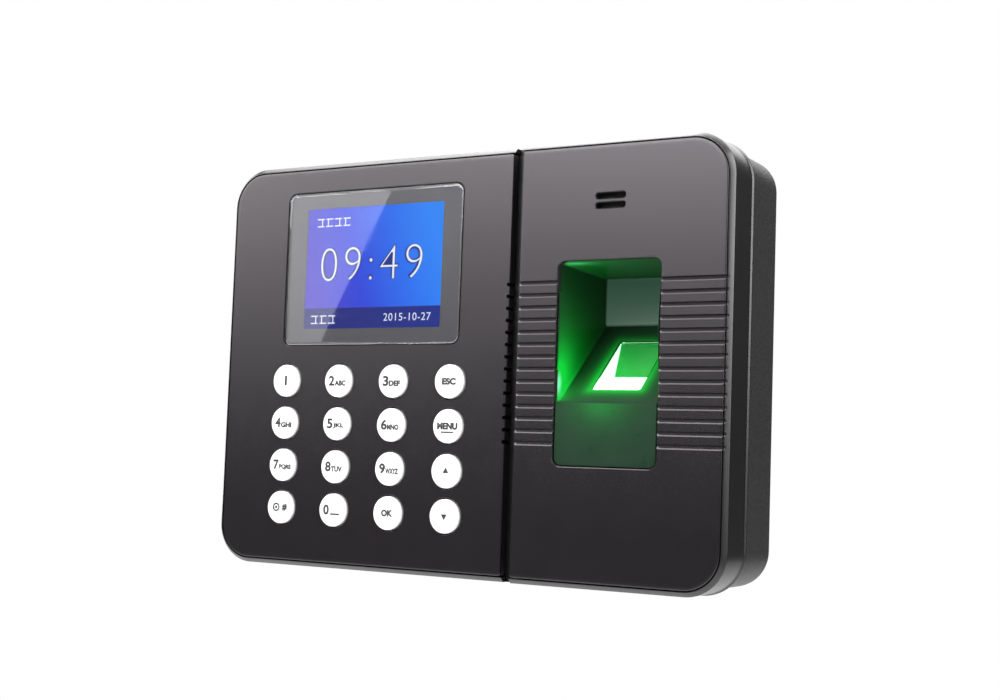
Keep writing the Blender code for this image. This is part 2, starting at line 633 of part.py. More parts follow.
def make_rear_cover(material):
    def outline(inset):
        return rounded(COVER_HALF_W - inset, COVER_HALF_H - inset, COVER_RADIUS - inset)

    soft = [(COVER_EDGE * (1 - math.cos(math.radians(a))), COVER_EDGE * (1 - math.sin(math.radians(a))))
            for a in (0, 30, 60, 90)]
    levels = [(COVER_FRONT_Y, 0.0)]
    levels += [(COVER_BACK_Y - back, inset) for inset, back in soft]
    body = solid("rear_cover", material, lambda bm: stack(bm, [(y, outline(inset)) for y, inset in levels]))
    inner = rounded(COVER_HALF_W - WALL, COVER_HALF_H - WALL, COVER_RADIUS - WALL)
    inside_y = COVER_BACK_Y - WALL
    cut(body, "inside", lambda bm: stack(bm, [(-FAR, inner), (inside_y, inner)]))

    pad_w, pad_h = BRACKET_HALF_W + GAP + WALL, BRACKET_HALF_H + GAP + WALL
    join(body, "recess_wall", lambda bm: add_box(
        bm, (-pad_w, pad_w), (RECESS_WALL_Y, inside_y + MM), (-pad_h, pad_h)))
    join(body, "case_bosses", *[
        lambda bm, at=at: add_tube(bm, at, CASE_POST_RADIUS, (CASE_BOSS_END_Y, inside_y + MM), 16)
        for at in case_screw_places()
    ])
    lock_x = (-LOCK_BOSS_HALF_W, LOCK_BOSS_HALF_W)
    lock_y = (LOCK_SCREW_Y - LOCK_BOSS_HALF_Y, RECESS_WALL_Y + MM)
    lock_z = (-COVER_HALF_H + MM, -COVER_HALF_H + LOCK_BOSS_HIGH)
    join(body, "lock_boss", lambda bm: add_box(bm, lock_x, lock_y, lock_z))

    recess = rounded(BRACKET_HALF_W + GAP, BRACKET_HALF_H + GAP, RECESS_RADIUS, (0, 0), 3)
    cut(body, "recess", lambda bm: stack(bm, [(RECESS_Y, recess), (FAR, recess)]))
    cut(body, "case_screws", *[
        lambda bm, at=at: add_tube(bm, at, CASE_SCREW_RADIUS + GAP, (-FAR, FAR), 16)
        for at in case_screw_places()
    ])
    cut(body, "counterbores", *[
        lambda bm, at=at: add_tube(bm, at, CASE_SCREW_HEAD + GAP, (CASE_SCREW_SEAT_Y, FAR), 16)
        for at in case_screw_places()
    ])
    slot_half = HOOK_WIDTH / 2 + GAP
    hook_slot_z = (HOOK_Z - HOOK_THICK / 2 - HOOK_SLOT_DROP, HOOK_Z + HOOK_THICK / 2 + GAP)
    lug_z = (LUG_Z - LUG_THICK / 2 - GAP, LUG_Z + LUG_THICK / 2 + GAP)
    lug_half = LUG_WIDTH / 2 + GAP
    cut(
        body,
        "bracket_slots",
        lambda bm: add_box(bm, (-lug_half, lug_half), (RECESS_WALL_Y - MM, FAR), lug_z),
        *[
            lambda bm, s=s: add_box(
                bm, (s * HOOK_X - slot_half, s * HOOK_X + slot_half), (RECESS_WALL_Y - MM, FAR), hook_slot_z)
            for s in (1, -1)
        ],
    )
    cut_lock_holes(body)
    cut_socket_holes(body)
    return body


def upright_tube(bm, x, y, radius, z, steps=16):
    """A tube along Z."""
    rings = [
        [bm.verts.new((x + px, y + py, level)) for px, py in circle(radius, (0.0, 0.0), steps)]
        for level in z
    ]
    for here, ahead in zip(range(steps), [*range(1, steps), 0]):
        bm.faces.new((rings[0][here], rings[0][ahead], rings[1][ahead], rings[1][here]))
    bm.faces.new(rings[0])
    bm.faces.new(rings[1])


def cut_lock_holes(body):
    floor = -COVER_HALF_H
    cut(body, "lock_hole", lambda bm: upright_tube(
        bm, 0.0, LOCK_SCREW_Y, CASE_SCREW_RADIUS + GAP, (floor - MM, floor + LOCK_HOLE_DEEP)))
    cut(body, "lock_seat", lambda bm: upright_tube(
        bm, 0.0, LOCK_SCREW_Y, CASE_SCREW_HEAD + GAP, (floor - MM, floor + LOCK_SEAT_DEEP)))


def cut_socket_holes(body):
    usb_y = (PART_Y - GAP, PART_Y + USB_HIGH + GAP)
    usb_z = (USB_Z - USB_WIDTH / 2 - GAP, USB_Z + USB_WIDTH / 2 + GAP)
    jack_y = (PART_Y - GAP, PART_Y + JACK_HIGH + GAP)
    jack_z = (JACK_Z - JACK_WIDTH / 2 - GAP, JACK_Z + JACK_WIDTH / 2 + GAP)
    side = (-FAR, -COVER_HALF_W + WALL + MM)
    cut(body, "usb_hole", lambda bm: add_box(bm, side, usb_y, usb_z))
    cut(body, "jack_hole", lambda bm: add_box(bm, side, jack_y, jack_z))


# ---------------------------------------------------------------- display and keypad


def make_display(lens, foam, glass, frame):
    centre = (DISPLAY_X, DISPLAY_Z)
    levels = ((KEYPAD_FACE_Y, LENS_EDGE), (KEYPAD_FACE_Y + LENS_EDGE, 0.0), (LENS_BACK_Y, 0.0))
    solid("display_lens", lens, lambda bm: stack(bm, [
        (y, rounded(LENS_WIDTH / 2 - inset, LENS_HEIGHT / 2 - inset, LENS_RADIUS - inset, centre, 4))
        for y, inset in levels
    ]))
    gasket_y = (GASKET_Y, GASKET_Y + GASKET_THICK)
    gasket_w, gasket_h = LENS_WIDTH / 2 - GASKET_INSET, LENS_HEIGHT / 2 - GASKET_INSET
    outer = rounded(gasket_w, gasket_h, LENS_RADIUS - GASKET_INSET, centre, 3)
    gasket = solid("display_gasket", foam, lambda bm: stack(bm, [(y, outer) for y in gasket_y]))
    sight = rounded(SIGHT_WIDTH / 2 + GAP, SIGHT_HEIGHT / 2 + GAP, SIGHT_RADIUS, centre, 3)
    cut(gasket, "hole", lambda bm: stack(bm, [(gasket_y[0] - MM, sight), (gasket_y[1] + MM, sight)]))

    panel = rounded(PANEL_WIDTH / 2, PANEL_HEIGHT / 2, PANEL_RADIUS, centre, 2)
    solid("lcd_panel", glass, lambda bm: stack(bm, [(FLOOR_FRONT_Y, panel), (PANEL_BACK_Y, panel)]))
    tray_outer = rounded(TRAY_HALF_W, TRAY_HALF_H, TRAY_RADIUS, centre, 3)
    tray_inner = rounded(PANEL_WIDTH / 2 + GAP, PANEL_HEIGHT / 2 + GAP, TRAY_RADIUS - GAP, centre, 3)
    tray_y = (FLOOR_FRONT_Y, TRAY_BACK_Y)
    tray = solid("lcd_frame", frame, lambda bm: stack(bm, [(y, tray_outer) for y in tray_y]))
    cut(tray, "panel", lambda bm: stack(bm, [(-FAR, tray_inner), (PANEL_BACK_Y + GAP, tray_inner)]))
    slot_half = RIBBON_WIDTH / 2 + MM
    slot = (DISPLAY_X - slot_half, DISPLAY_X + slot_half)
    slot_middle = DISPLAY_Z - PANEL_HEIGHT / 2 + RIBBON_ABOVE_FOOT
    slot_z = (slot_middle - RIBBON_SLOT / 2, slot_middle + RIBBON_SLOT / 2)
    cut(tray, "ribbon_slot", lambda bm: add_box(bm, slot, (PANEL_BACK_Y, FAR), slot_z))


def make_key(name, x, z, material):
    """A keycap about its own joint origin, with a flange that the fascia holds in."""
    face = KEYPAD_FACE_Y - KEY_PROUD
    levels = (
        (face, KEY_RADIUS / 2),
        (face + KEY_DOME, KEY_RADIUS - KEY_EDGE),
        (face + KEY_DOME + KEY_EDGE, KEY_RADIUS),
        (FLOOR_FRONT_Y, KEY_RADIUS),
        (FLOOR_FRONT_Y, KEY_FLANGE_RADIUS),
        (KEY_FLANGE_BACK_Y, KEY_FLANGE_RADIUS),
    )
    key = solid(name, material, lambda bm: stack(bm, [(y - face, circle(r)) for y, r in levels]))
    key.location = (x, face, z)
    return key


def make_keypad(caps, silicone, board):
    for name, x, z in key_places():
        make_key(name, x, z, caps)
    mat_x, mat_z = keypad_box(MAT_MARGIN)
    mat_y = (MAT_FRONT_Y, MAT_FRONT_Y + MAT_THICK)
    mat = solid("keypad_mat", silicone, lambda bm: add_box(bm, mat_x, mat_y, mat_z))
    dome_y = (KEY_FLANGE_BACK_Y + GAP, mat_y[0] + MAT_THICK / 2)
    join(mat, "domes", *[
        lambda bm, at=(x, z): stack(bm, [
            (dome_y[0], circle(MAT_DOME_RADIUS * 0.6, at, 10)),
            (dome_y[1], circle(MAT_DOME_RADIUS, at, 10)),
        ])
        for _, x, z in key_places()
    ])
    solid("key_board", board, lambda bm: add_box(bm, mat_x, (KEY_BOARD_Y, KEY_BOARD_Y + BOARD_THICK), mat_z))


# ---------------------------------------------------------------- finger well and sensor


def make_finger_well(material):
    """A moulded pocket: side walls, ceiling, back wall, sloped platform and the plate below it."""
    back = WELL_BACK_Y + WELL_WALL
    ceiling_back = WELL_TOP_Z - CEILING_DROP
    heel = FRONT_PLATE_Y + 2 * WELL_WALL
    outer = [
        (WELL_FRONT_Y, WELL_TOP_Z + WELL_WALL),
        (back, ceiling_back + WELL_WALL),
        (back, slope_z(back, PLATFORM_THICK)),
        (heel, slope_z(heel, PLATFORM_THICK)),
        (heel, WELL_BOTTOM_Z - WELL_WALL),
        (WELL_FRONT_Y, WELL_BOTTOM_Z - WELL_WALL),
    ]
    left, right = WINDOW_X - WELL_OUT_W, WINDOW_X + WELL_OUT_W
    body = solid("finger_well", material, lambda bm: add_run(bm, outer, left, right))
    plug_w = WELL_HALF_W - GAP
    plug = rounded(plug_w, WINDOW_HEIGHT / 2 - GAP, WINDOW_RADIUS - GAP, (WINDOW_X, WINDOW_Z), 4)
    join(body, "plug", lambda bm: stack(bm, [(FRONT_PLATE_Y, plug), (WELL_FRONT_Y + MM, plug)]))
    hollow = [
        (-FAR, WELL_TOP_Z),
        (SCANNER_FACE_Y, WELL_TOP_Z),
        (WELL_BACK_Y, ceiling_back),
        (WELL_BACK_Y, PLATFORM_BACK_Z),
        (FRONT_PLATE_Y, PLATFORM_FRONT_Z),
        (-FAR, PLATFORM_FRONT_Z),
    ]
    cut(body, "pocket", lambda bm: add_run(
        bm, hollow, lambda y: WINDOW_X - well_half_width(y), lambda y: WINDOW_X + well_half_width(y)))
    half = PRISM_LENGTH / 2
    mouth = [on_slope(-half, MM), on_slope(half, MM), on_slope(half, -3 * MM), on_slope(-half, -3 * MM)]
    cut(body, "prism_mouth", lambda bm: add_run(
        bm, mouth, PRISM_X - PRISM_WIDTH / 2, PRISM_X + PRISM_WIDTH / 2))
    return body


def make_sensor(glass, shell, board, camera):
    half = PRISM_LENGTH / 2 - GAP
    top = -GAP
    keel = PRISM_KEEL / 2
    wedge = [
        (-half, top),
        (half, top),
        (half, top - PRISM_EDGE_THICK),
        (PRISM_APEX_V + keel, -PRISM_APEX_DEEP),
        (PRISM_APEX_V - keel, -PRISM_APEX_DEEP),
        (-half, top - PRISM_EDGE_THICK),
    ]
    prism_w = PRISM_WIDTH / 2 - GAP
    solid("prism_glass", glass, lambda bm: add_run(
        bm, [on_slope(*at) for at in wedge], PRISM_X - prism_w, PRISM_X + prism_w))

    lip = -PLATFORM_THICK - GAP
    out = half + SENSOR_WALL + GAP
    foot = SENSOR_FOOT_WIDTH / 2
    block = [
        (-out, lip),
        (out, lip),
        (out, -SENSOR_SHOULDER_DEEP),
        (SENSOR_FOOT_V + foot, -SENSOR_DEEP),
        (SENSOR_FOOT_V - foot, -SENSOR_DEEP),
        (-out, -SENSOR_SHOULDER_DEEP),
    ]
    house_w = prism_w + GAP + SENSOR_WALL
    house = solid("sensor_housing", shell, lambda bm: add_run(
        bm, [on_slope(*at) for at in block], PRISM_X - house_w, PRISM_X + house_w))
    room = half + GAP
    seat_keel = keel + PRISM_SEAT_ROOM
    seat_low = -PRISM_APEX_DEEP - PRISM_SEAT_BELOW
    seat = [
        (-room, MM),
        (room, MM),
        (room, -PRISM_SEAT_THICK),
        (PRISM_APEX_V + seat_keel, seat_low),
        (PRISM_APEX_V - seat_keel, seat_low),
        (-room, -PRISM_SEAT_THICK),
    ]
    cut(house, "prism_seat", lambda bm: add_run(
        bm, [on_slope(*at) for at in seat], PRISM_X - prism_w - GAP, PRISM_X + prism_w + GAP))
    eye_w = CAMERA_RADIUS + GAP
    eye = [on_slope(v, w) for v, w in (
        (PRISM_APEX_V - eye_w, -PRISM_APEX_DEEP), (PRISM_APEX_V + eye_w, -PRISM_APEX_DEEP),
        (PRISM_APEX_V + eye_w, -SENSOR_DEEP - MM), (PRISM_APEX_V - eye_w, -SENSOR_DEEP - MM))]
    cut(house, "eye", lambda bm: add_run(bm, eye, PRISM_X - eye_w, PRISM_X + eye_w))

    def slope_box(bm, half_u, v, w):
        corners = [on_slope(*at) for at in ((v[0], w[0]), (v[1], w[0]), (v[1], w[1]), (v[0], w[1]))]
        add_run(bm, corners, PRISM_X - half_u, PRISM_X + half_u)

    board_w = (-SENSOR_DEEP - GAP - BOARD_THICK, -SENSOR_DEEP - GAP)
    board_v = (SENSOR_BOARD_V - SENSOR_BOARD_LENGTH / 2, SENSOR_BOARD_V + SENSOR_BOARD_LENGTH / 2)
    solid("sensor_board", board, lambda bm: slope_box(bm, house_w - MM, board_v, board_w))
    sensor_w = (-SENSOR_DEEP, -PRISM_APEX_DEEP - CAMERA_GAP)
    sensor_v = (PRISM_APEX_V - CAMERA_RADIUS, PRISM_APEX_V + CAMERA_RADIUS)
    solid("sensor_camera", camera, lambda bm: slope_box(bm, CAMERA_RADIUS, sensor_v, sensor_w))


def make_speaker(shell, foam):
    centre = (SPEAKER_X, SPEAKER_Z)
    seal_y = (SPEAKER_SEAL_Y, SPEAKER_SEAL_Y + SPEAKER_SEAL)
    seal = solid("speaker_gasket", foam, lambda bm: add_tube(bm, centre, SPEAKER_RADIUS, seal_y, 28))
    hole_radius = SPEAKER_RADIUS - SPEAKER_SEAL_WIDTH
    cut(seal, "hole", lambda bm: add_tube(bm, centre, hole_radius, (seal_y[0] - MM, seal_y[1] + MM), 28))
    levels = (
        (SPEAKER_Y, SPEAKER_RADIUS),
        (SPEAKER_Y + 0.45 * SPEAKER_DEEP, SPEAKER_RADIUS),
        (SPEAKER_Y + 0.6 * SPEAKER_DEEP, SPEAKER_RADIUS * SPEAKER_MAGNET),
        (SPEAKER_Y + SPEAKER_DEEP, SPEAKER_RADIUS * SPEAKER_MAGNET),
    )
    solid("speaker", shell, lambda bm: stack(bm, [(y, circle(r, centre, 28)) for y, r in levels]))


# ---------------------------------------------------------------- boards, sockets and cables


def make_main_board(board):
    base = solid("main_board", board, lambda bm: add_box(
        bm, (MAIN_BOARD_LEFT, MAIN_BOARD_RIGHT), (MAIN_BOARD_Y, MAIN_BOARD_BACK_Y),
        (-MAIN_BOARD_HALF_H, MAIN_BOARD_HALF_H)))
    through = (MAIN_BOARD_Y - MM, MAIN_BOARD_BACK_Y + MM)
    cut(base, "screw_holes", *[
        lambda bm, at=at: add_tube(bm, at, BOARD_SCREW_RADIUS + GAP, through, 16)
        for at in board_screw_places()
    ])


def make_board_parts(chip, shell, cell, can):
    chip_x = (CHIP_X - CHIP_SIZE / 2, CHIP_X + CHIP_SIZE / 2)
    chip_z = (CHIP_Z - CHIP_SIZE / 2, CHIP_Z + CHIP_SIZE / 2)
    solid("processor_chip", chip, lambda bm: add_box(bm, chip_x, (PART_Y, PART_Y + CHIP_THICK), chip_z))
    cell_y = (PART_Y + CELL_LIFT, PART_Y + CELL_LIFT + CELL_THICK)
    holder_y = (PART_Y, cell_y[1] - CELL_PROUD)
    holder = solid("coin_cell_holder", shell, lambda bm: add_tube(
        bm, CELL_PLACE, CELL_RADIUS + HOLDER_WALL, holder_y, 28))
    cut(holder, "seat", lambda bm: add_tube(bm, CELL_PLACE, CELL_RADIUS + GAP, (cell_y[0] - GAP, FAR), 28))
    solid("coin_cell", cell, lambda bm: add_tube(bm, CELL_PLACE, CELL_RADIUS, cell_y, 28))
    can_y = (PART_Y, PART_Y + CAPACITOR_HIGH)
    solid("capacitor", can, lambda bm: add_tube(bm, CAPACITOR_PLACE, CAPACITOR_RADIUS, can_y, 20))


def make_sockets(metal, shell):
    left = -COVER_HALF_W + GAP
    usb_y = (PART_Y, PART_Y + USB_HIGH)
    usb = solid("usb_port", metal, lambda bm: add_box(
        bm, (left, left + USB_LENGTH), usb_y, (USB_Z - USB_WIDTH / 2, USB_Z + USB_WIDTH / 2)))
    middle = (usb_y[0] + usb_y[1]) / 2
    mouth_y = (middle - USB_MOUTH_HIGH / 2, middle + USB_MOUTH_HIGH / 2)
    mouth_z = (USB_Z - USB_MOUTH_WIDTH / 2, USB_Z + USB_MOUTH_WIDTH / 2)
    cut(usb, "mouth", lambda bm: add_box(bm, (left - MM, left + USB_MOUTH_DEEP), mouth_y, mouth_z))

    jack = solid("dc_jack", shell, lambda bm: add_box(
        bm, (left, left + JACK_LENGTH), (PART_Y, PART_Y + JACK_HIGH),
        (JACK_Z - JACK_WIDTH / 2, JACK_Z + JACK_WIDTH / 2)))
    axis_y = PART_Y + JACK_HIGH / 2

    def bore(bm, radius, x, steps):
        ring = [[(x_at, axis_y + py, JACK_Z + pz) for py, pz in circle(radius, (0, 0), steps)] for x_at in x]
        ends = [[bm.verts.new(at) for at in side] for side in ring]
        for here, ahead in zip(range(steps), [*range(1, steps), 0]):
            bm.faces.new((ends[0][here], ends[0][ahead], ends[1][ahead], ends[1][here]))
        bm.faces.new(ends[0])
        bm.faces.new(ends[1])

    end = left + JACK_HOLE_DEEP
    cut(jack, "bore", lambda bm: bore(bm, JACK_HOLE_RADIUS, (left - MM, end), 20))
    join(jack, "pin", lambda bm: bore(bm, JACK_PIN_RADIUS, (left + MM, end + MM), 12))


def make_ribbon(material):
    """A flat cable from the display's back, folded down to the main board."""
    start_z = DISPLAY_Z - PANEL_HEIGHT / 2 + RIBBON_ABOVE_FOOT
    low = start_z - RIBBON_DROP
    front, back = PANEL_BACK_Y + GAP, MAIN_BOARD_Y - GAP
    bend = TRAY_BACK_Y + RIBBON_BEND
    profile = [
        (front, start_z),
        (bend, start_z),
        (bend, low),
        (back, low),
        (back, low - RIBBON_THICK),
        (bend - RIBBON_THICK, low - RIBBON_THICK),
        (bend - RIBBON_THICK, start_z - RIBBON_THICK),
        (front, start_z - RIBBON_THICK),
    ]
    left, right = DISPLAY_X - RIBBON_WIDTH / 2, DISPLAY_X + RIBBON_WIDTH / 2
    solid("lcd_ribbon", material, lambda bm: add_run(bm, profile, left, right))


def make_lead(name, route, radius, material):
    """A round cable through the route's points, smoothed into a curve and read back as short runs."""
    points = [Vector(at) for at in route]
    padded = [2 * points[0] - points[1], *points, 2 * points[-1] - points[-2]]
    smooth = []
    for before, start, end, after in zip(padded, padded[1:], padded[2:], padded[3:]):
        for step in range(LEAD_STEPS):
            t = step / LEAD_STEPS
            smooth.append(0.5 * (
                2 * start + (end - before) * t + (2 * before - 5 * start + 4 * end - after) * t * t
                + (3 * start - before - 3 * end + after) * t ** 3))
    smooth.append(points[-1])
    curve = bpy.data.curves.new(name, "CURVE")
    curve.dimensions = "3D"
    curve.bevel_depth = radius
    curve.bevel_resolution = 2
    curve.use_fill_caps = True
    spline = curve.splines.new("POLY")
    spline.points.add(len(smooth) - 1)
    for point, at in zip(spline.points, smooth):
        point.co = (*at, 1.0)
    curve.materials.append(material)
    made = bpy.data.objects.new(name, curve)
    bpy.context.scene.collection.objects.link(made)


def make_cables(material):
    speaker_back = SPEAKER_Y + SPEAKER_DEEP + GAP + MM
    board_front = MAIN_BOARD_Y - GAP - MM
    make_lead("speaker_lead", (
        (SPEAKER_X - 3 * MM, speaker_back, SPEAKER_Z),
        (SPEAKER_X - 9 * MM, speaker_back + 3 * MM, SPEAKER_Z - 1 * MM),
        (MAIN_BOARD_RIGHT + 7.5 * MM, speaker_back + 2.5 * MM, SPEAKER_Z - 6 * MM),
        (MAIN_BOARD_RIGHT - 2.5 * MM, board_front, SPEAKER_Z - 14 * MM),
        (MAIN_BOARD_RIGHT - 7.5 * MM, board_front, SPEAKER_Z - 16 * MM),
    ), SPEAKER_LEAD_RADIUS, material)
    low_y, low_z = on_slope(-6 * MM, -SENSOR_DEEP - BOARD_THICK - 2 * MM)
    make_lead("sensor_cable", (
        (PRISM_X - 4 * MM, low_y, low_z),
        (PRISM_X - 10 * MM, low_y + 1 * MM, low_z - 4 * MM),
        (MAIN_BOARD_RIGHT + 13.5 * MM, board_front - 1 * MM, WELL_BOTTOM_Z - 1.5 * MM),
        (MAIN_BOARD_RIGHT - 1.5 * MM, board_front, WELL_BOTTOM_Z - 3.5 * MM),
        (MAIN_BOARD_RIGHT - 7.5 * MM, board_front, WELL_BOTTOM_Z - 3.5 * MM),
    ), SENSOR_CABLE_RADIUS, material)


# ---------------------------------------------------------------- bracket and screws


def make_bracket(material):
    plate = rounded(BRACKET_HALF_W, BRACKET_HALF_H, BRACKET_RADIUS, (0, 0), 3)
    body = solid("wall_bracket", material, lambda bm: stack(bm, [(BRACKET_FRONT_Y, plate), (0.0, plate)]))
    reach = RECESS_WALL_Y - HOOK_CLEARANCE
    into = -BRACKET_THICK / 2

    def hook(bm, side):
        x = (side * HOOK_X - HOOK_WIDTH / 2, side * HOOK_X + HOOK_WIDTH / 2)
        low, high = HOOK_Z - HOOK_THICK / 2, HOOK_Z + HOOK_THICK / 2
        tip = reach - HOOK_LIP
        top = high + HOOK_RISE
        profile = [(into, low), (tip, low), (tip, top), (reach, top), (reach, high), (into, high)]
        add_run(bm, profile, *x)

    join(body, "hooks", lambda bm: hook(bm, 1), lambda bm: hook(bm, -1))
    lug_y = (LOCK_SCREW_Y - LUG_LENGTH / 2, into)
    lug_z = (LUG_Z - LUG_THICK / 2, LUG_Z + LUG_THICK / 2)
    join(body, "lug", lambda bm: add_box(bm, (-LUG_WIDTH / 2, LUG_WIDTH / 2), lug_y, lug_z))
    cut(body, "lock_hole", lambda bm: upright_tube(
        bm, 0.0, LOCK_SCREW_Y, CASE_SCREW_RADIUS + GAP, (LUG_Z - 3 * MM, LUG_Z + 3 * MM)))
    cut(body, "wall_holes", *[
        lambda bm, sx=sx, sz=sz: add_tube(
            bm, (sx * BRACKET_HOLE_X, sz * BRACKET_HOLE_Z), BRACKET_HOLE_RADIUS, (-5 * MM, MM), 20)
        for sx in (1, -1) for sz in (1, -1)
    ])


def make_screw(name, at, head_y, shank_end_y, shank_radius, head_radius, head_high, material):
    """A screw along Y, head towards the wall, with a cross recess."""
    levels = (
        (shank_end_y, shank_radius * 0.5),
        (shank_end_y + shank_radius, shank_radius),
        (head_y, shank_radius),
        (head_y, head_radius),
        (head_y + head_high * 0.7, head_radius),
        (head_y + head_high, head_radius * 0.75),
    )
    screw = solid(name, material, lambda bm: stack(bm, [(y, circle(r, at, 12)) for y, r in levels]))
    arm, half = head_radius * 0.6, head_radius * 0.13
    deep = (head_y + head_high * 0.5, head_y + head_high + MM)
    cross = solid(f"{name}_cross_cutter", None, lambda bm: stack(bm, [
        (y, [(at[0] + px, at[1] + pz) for px, pz in (
            (half, half), (half, arm), (-half, arm), (-half, half), (-arm, half), (-arm, -half),
            (-half, -half), (-half, -arm), (half, -arm), (half, -half), (arm, -half), (arm, half))])
        for y in deep
    ]))
    combine(screw, "DIFFERENCE", cross)
    return screw


def make_fasteners(steel):
    for number, at in enumerate(case_screw_places(), 1):
        make_screw(
            f"case_screw_{number}", at, CASE_SCREW_SEAT_Y + GAP, FLOOR_BACK_Y + SCREW_TIP_GAP,
            CASE_SCREW_RADIUS, CASE_SCREW_HEAD, CASE_SCREW_HEAD_HIGH, steel)
    for number, at in enumerate(board_screw_places(), 1):
        make_screw(
            f"board_screw_{number}", at, PART_Y, FLOOR_BACK_Y + SCREW_TIP_GAP,
            BOARD_SCREW_RADIUS, BOARD_SCREW_HEAD, BOARD_SCREW_HEAD_HIGH, steel)
    make_lock_screw(steel)


def make_lock_screw(steel):
    low = -COVER_HALF_H + LOCK_SCREW_SUNK
    high = low + LOCK_SCREW_HEAD_HIGH
    screw = solid("bracket_screw", steel, lambda bm: upright_tube(
        bm, 0.0, LOCK_SCREW_Y, CASE_SCREW_HEAD, (low, high)))
    join(screw, "shank", lambda bm: upright_tube(
        bm, 0.0, LOCK_SCREW_Y, CASE_SCREW_RADIUS, (high - MM, LUG_Z + LOCK_SCREW_PAST_LUG)))


# ---------------------------------------------------------------- the whole


def main():
    clear_scene()
    face = make_material("satin_grey_plastic", (0.11, 0.10, 0.11), 0.38)
    dark = make_material("black_plastic", (0.02, 0.02, 0.02), 0.35)
    rear = make_material("dark_grey_plastic", (0.04, 0.04, 0.042), 0.5)
    lens = make_material("tinted_window", (0.05, 0.05, 0.06), 0.06)
    white = make_material("white_key_plastic", (0.82, 0.82, 0.82), 0.3)
    silicone = make_material("grey_silicone", (0.35, 0.35, 0.37), 0.7)
    green = make_material("dark_green_plastic", (0.03, 0.08, 0.05), 0.3)
    glass = make_material("sensor_glass", (0.6, 0.95, 0.7), 0.02, transmission=1.0)
    panel = make_material("display_glass", (0.05, 0.2, 0.85), 0.15)
    board = make_material("green_board", (0.02, 0.16, 0.06), 0.45)
    chip = make_material("chip_resin", (0.02, 0.02, 0.022), 0.5)
    foam = make_material("black_foam", (0.015, 0.015, 0.015), 0.95)
    steel = make_material("zinc_steel", (0.6, 0.6, 0.6), 0.35, 1.0)
    nickel = make_material("bright_metal", (0.75, 0.75, 0.74), 0.2, 1.0)
    ribbon = make_material("ribbon_film", (0.5, 0.28, 0.08), 0.4)
    lead = make_material("cable_sheath", (0.03, 0.03, 0.03), 0.5)

    make_front_housing(dark)
    make_keypad_fascia(face)
    make_scanner_fascia(face.copy())
    make_rear_cover(rear)
    make_display(lens, foam, panel, dark.copy())
    make_keypad(white, silicone, board)
    make_finger_well(green)
    make_sensor(glass, dark.copy(), board.copy(), chip.copy())
    make_speaker(dark.copy(), foam.copy())
    make_main_board(board.copy())
    make_board_parts(chip, dark.copy(), nickel, nickel.copy())
    make_sockets(nickel.copy(), dark.copy())
    make_ribbon(ribbon)
    make_cables(lead)
    make_bracket(steel.copy())
    make_fasteners(steel)


main()
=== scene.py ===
"""Looks of the wall-mounted fingerprint terminal: shells, round keys, lit display and green finger well.

Metres, +Z up. X runs left to right seen from the front, and Y runs from the front (negative) to the wall.
"""

import json
import math

import bmesh
import bpy
from mathutils import Euler, Matrix, Vector

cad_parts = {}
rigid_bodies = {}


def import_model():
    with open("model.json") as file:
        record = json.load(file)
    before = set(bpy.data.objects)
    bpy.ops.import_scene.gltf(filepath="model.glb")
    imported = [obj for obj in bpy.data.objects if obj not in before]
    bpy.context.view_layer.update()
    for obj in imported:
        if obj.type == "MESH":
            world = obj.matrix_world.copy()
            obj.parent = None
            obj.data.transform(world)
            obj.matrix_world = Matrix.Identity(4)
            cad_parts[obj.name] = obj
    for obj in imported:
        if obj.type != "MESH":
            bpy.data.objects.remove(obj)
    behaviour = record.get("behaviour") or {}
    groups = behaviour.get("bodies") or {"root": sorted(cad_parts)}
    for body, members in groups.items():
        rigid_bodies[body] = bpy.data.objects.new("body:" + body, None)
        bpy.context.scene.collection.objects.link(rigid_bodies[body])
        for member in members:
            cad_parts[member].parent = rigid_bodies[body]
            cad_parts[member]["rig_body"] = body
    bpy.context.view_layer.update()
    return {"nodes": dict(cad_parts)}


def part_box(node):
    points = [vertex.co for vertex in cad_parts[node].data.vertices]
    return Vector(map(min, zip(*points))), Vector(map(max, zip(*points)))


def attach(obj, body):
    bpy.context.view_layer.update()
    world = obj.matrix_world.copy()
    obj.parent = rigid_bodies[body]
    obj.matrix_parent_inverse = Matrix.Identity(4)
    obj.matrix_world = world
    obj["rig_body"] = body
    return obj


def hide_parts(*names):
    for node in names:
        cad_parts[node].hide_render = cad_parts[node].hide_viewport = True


MM = 0.001
GAP = 0.3 * MM
ARC_STEPS = 14
FAR = 200 * MM
BODY = "terminal"

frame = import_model()
nodes = frame["nodes"]

# --- places from the frame

_, housing_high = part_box("front_housing")
keypad_low, keypad_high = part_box("keypad_fascia")
scanner_low, scanner_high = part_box("scanner_fascia")
cover_low, cover_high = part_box("rear_cover")
lens_low, lens_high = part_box("display_lens")
panel_low, panel_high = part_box("lcd_panel")
well_low, well_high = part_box("finger_well")
prism_low, prism_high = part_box("prism_glass")
_, bracket_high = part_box("wall_bracket")



def reach(node, grow=0.0):
    """A node's box in X and Z, grown all round."""
    low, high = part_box(node)
    return (low.x - grow, high.x + grow, low.z - grow, high.z + grow)


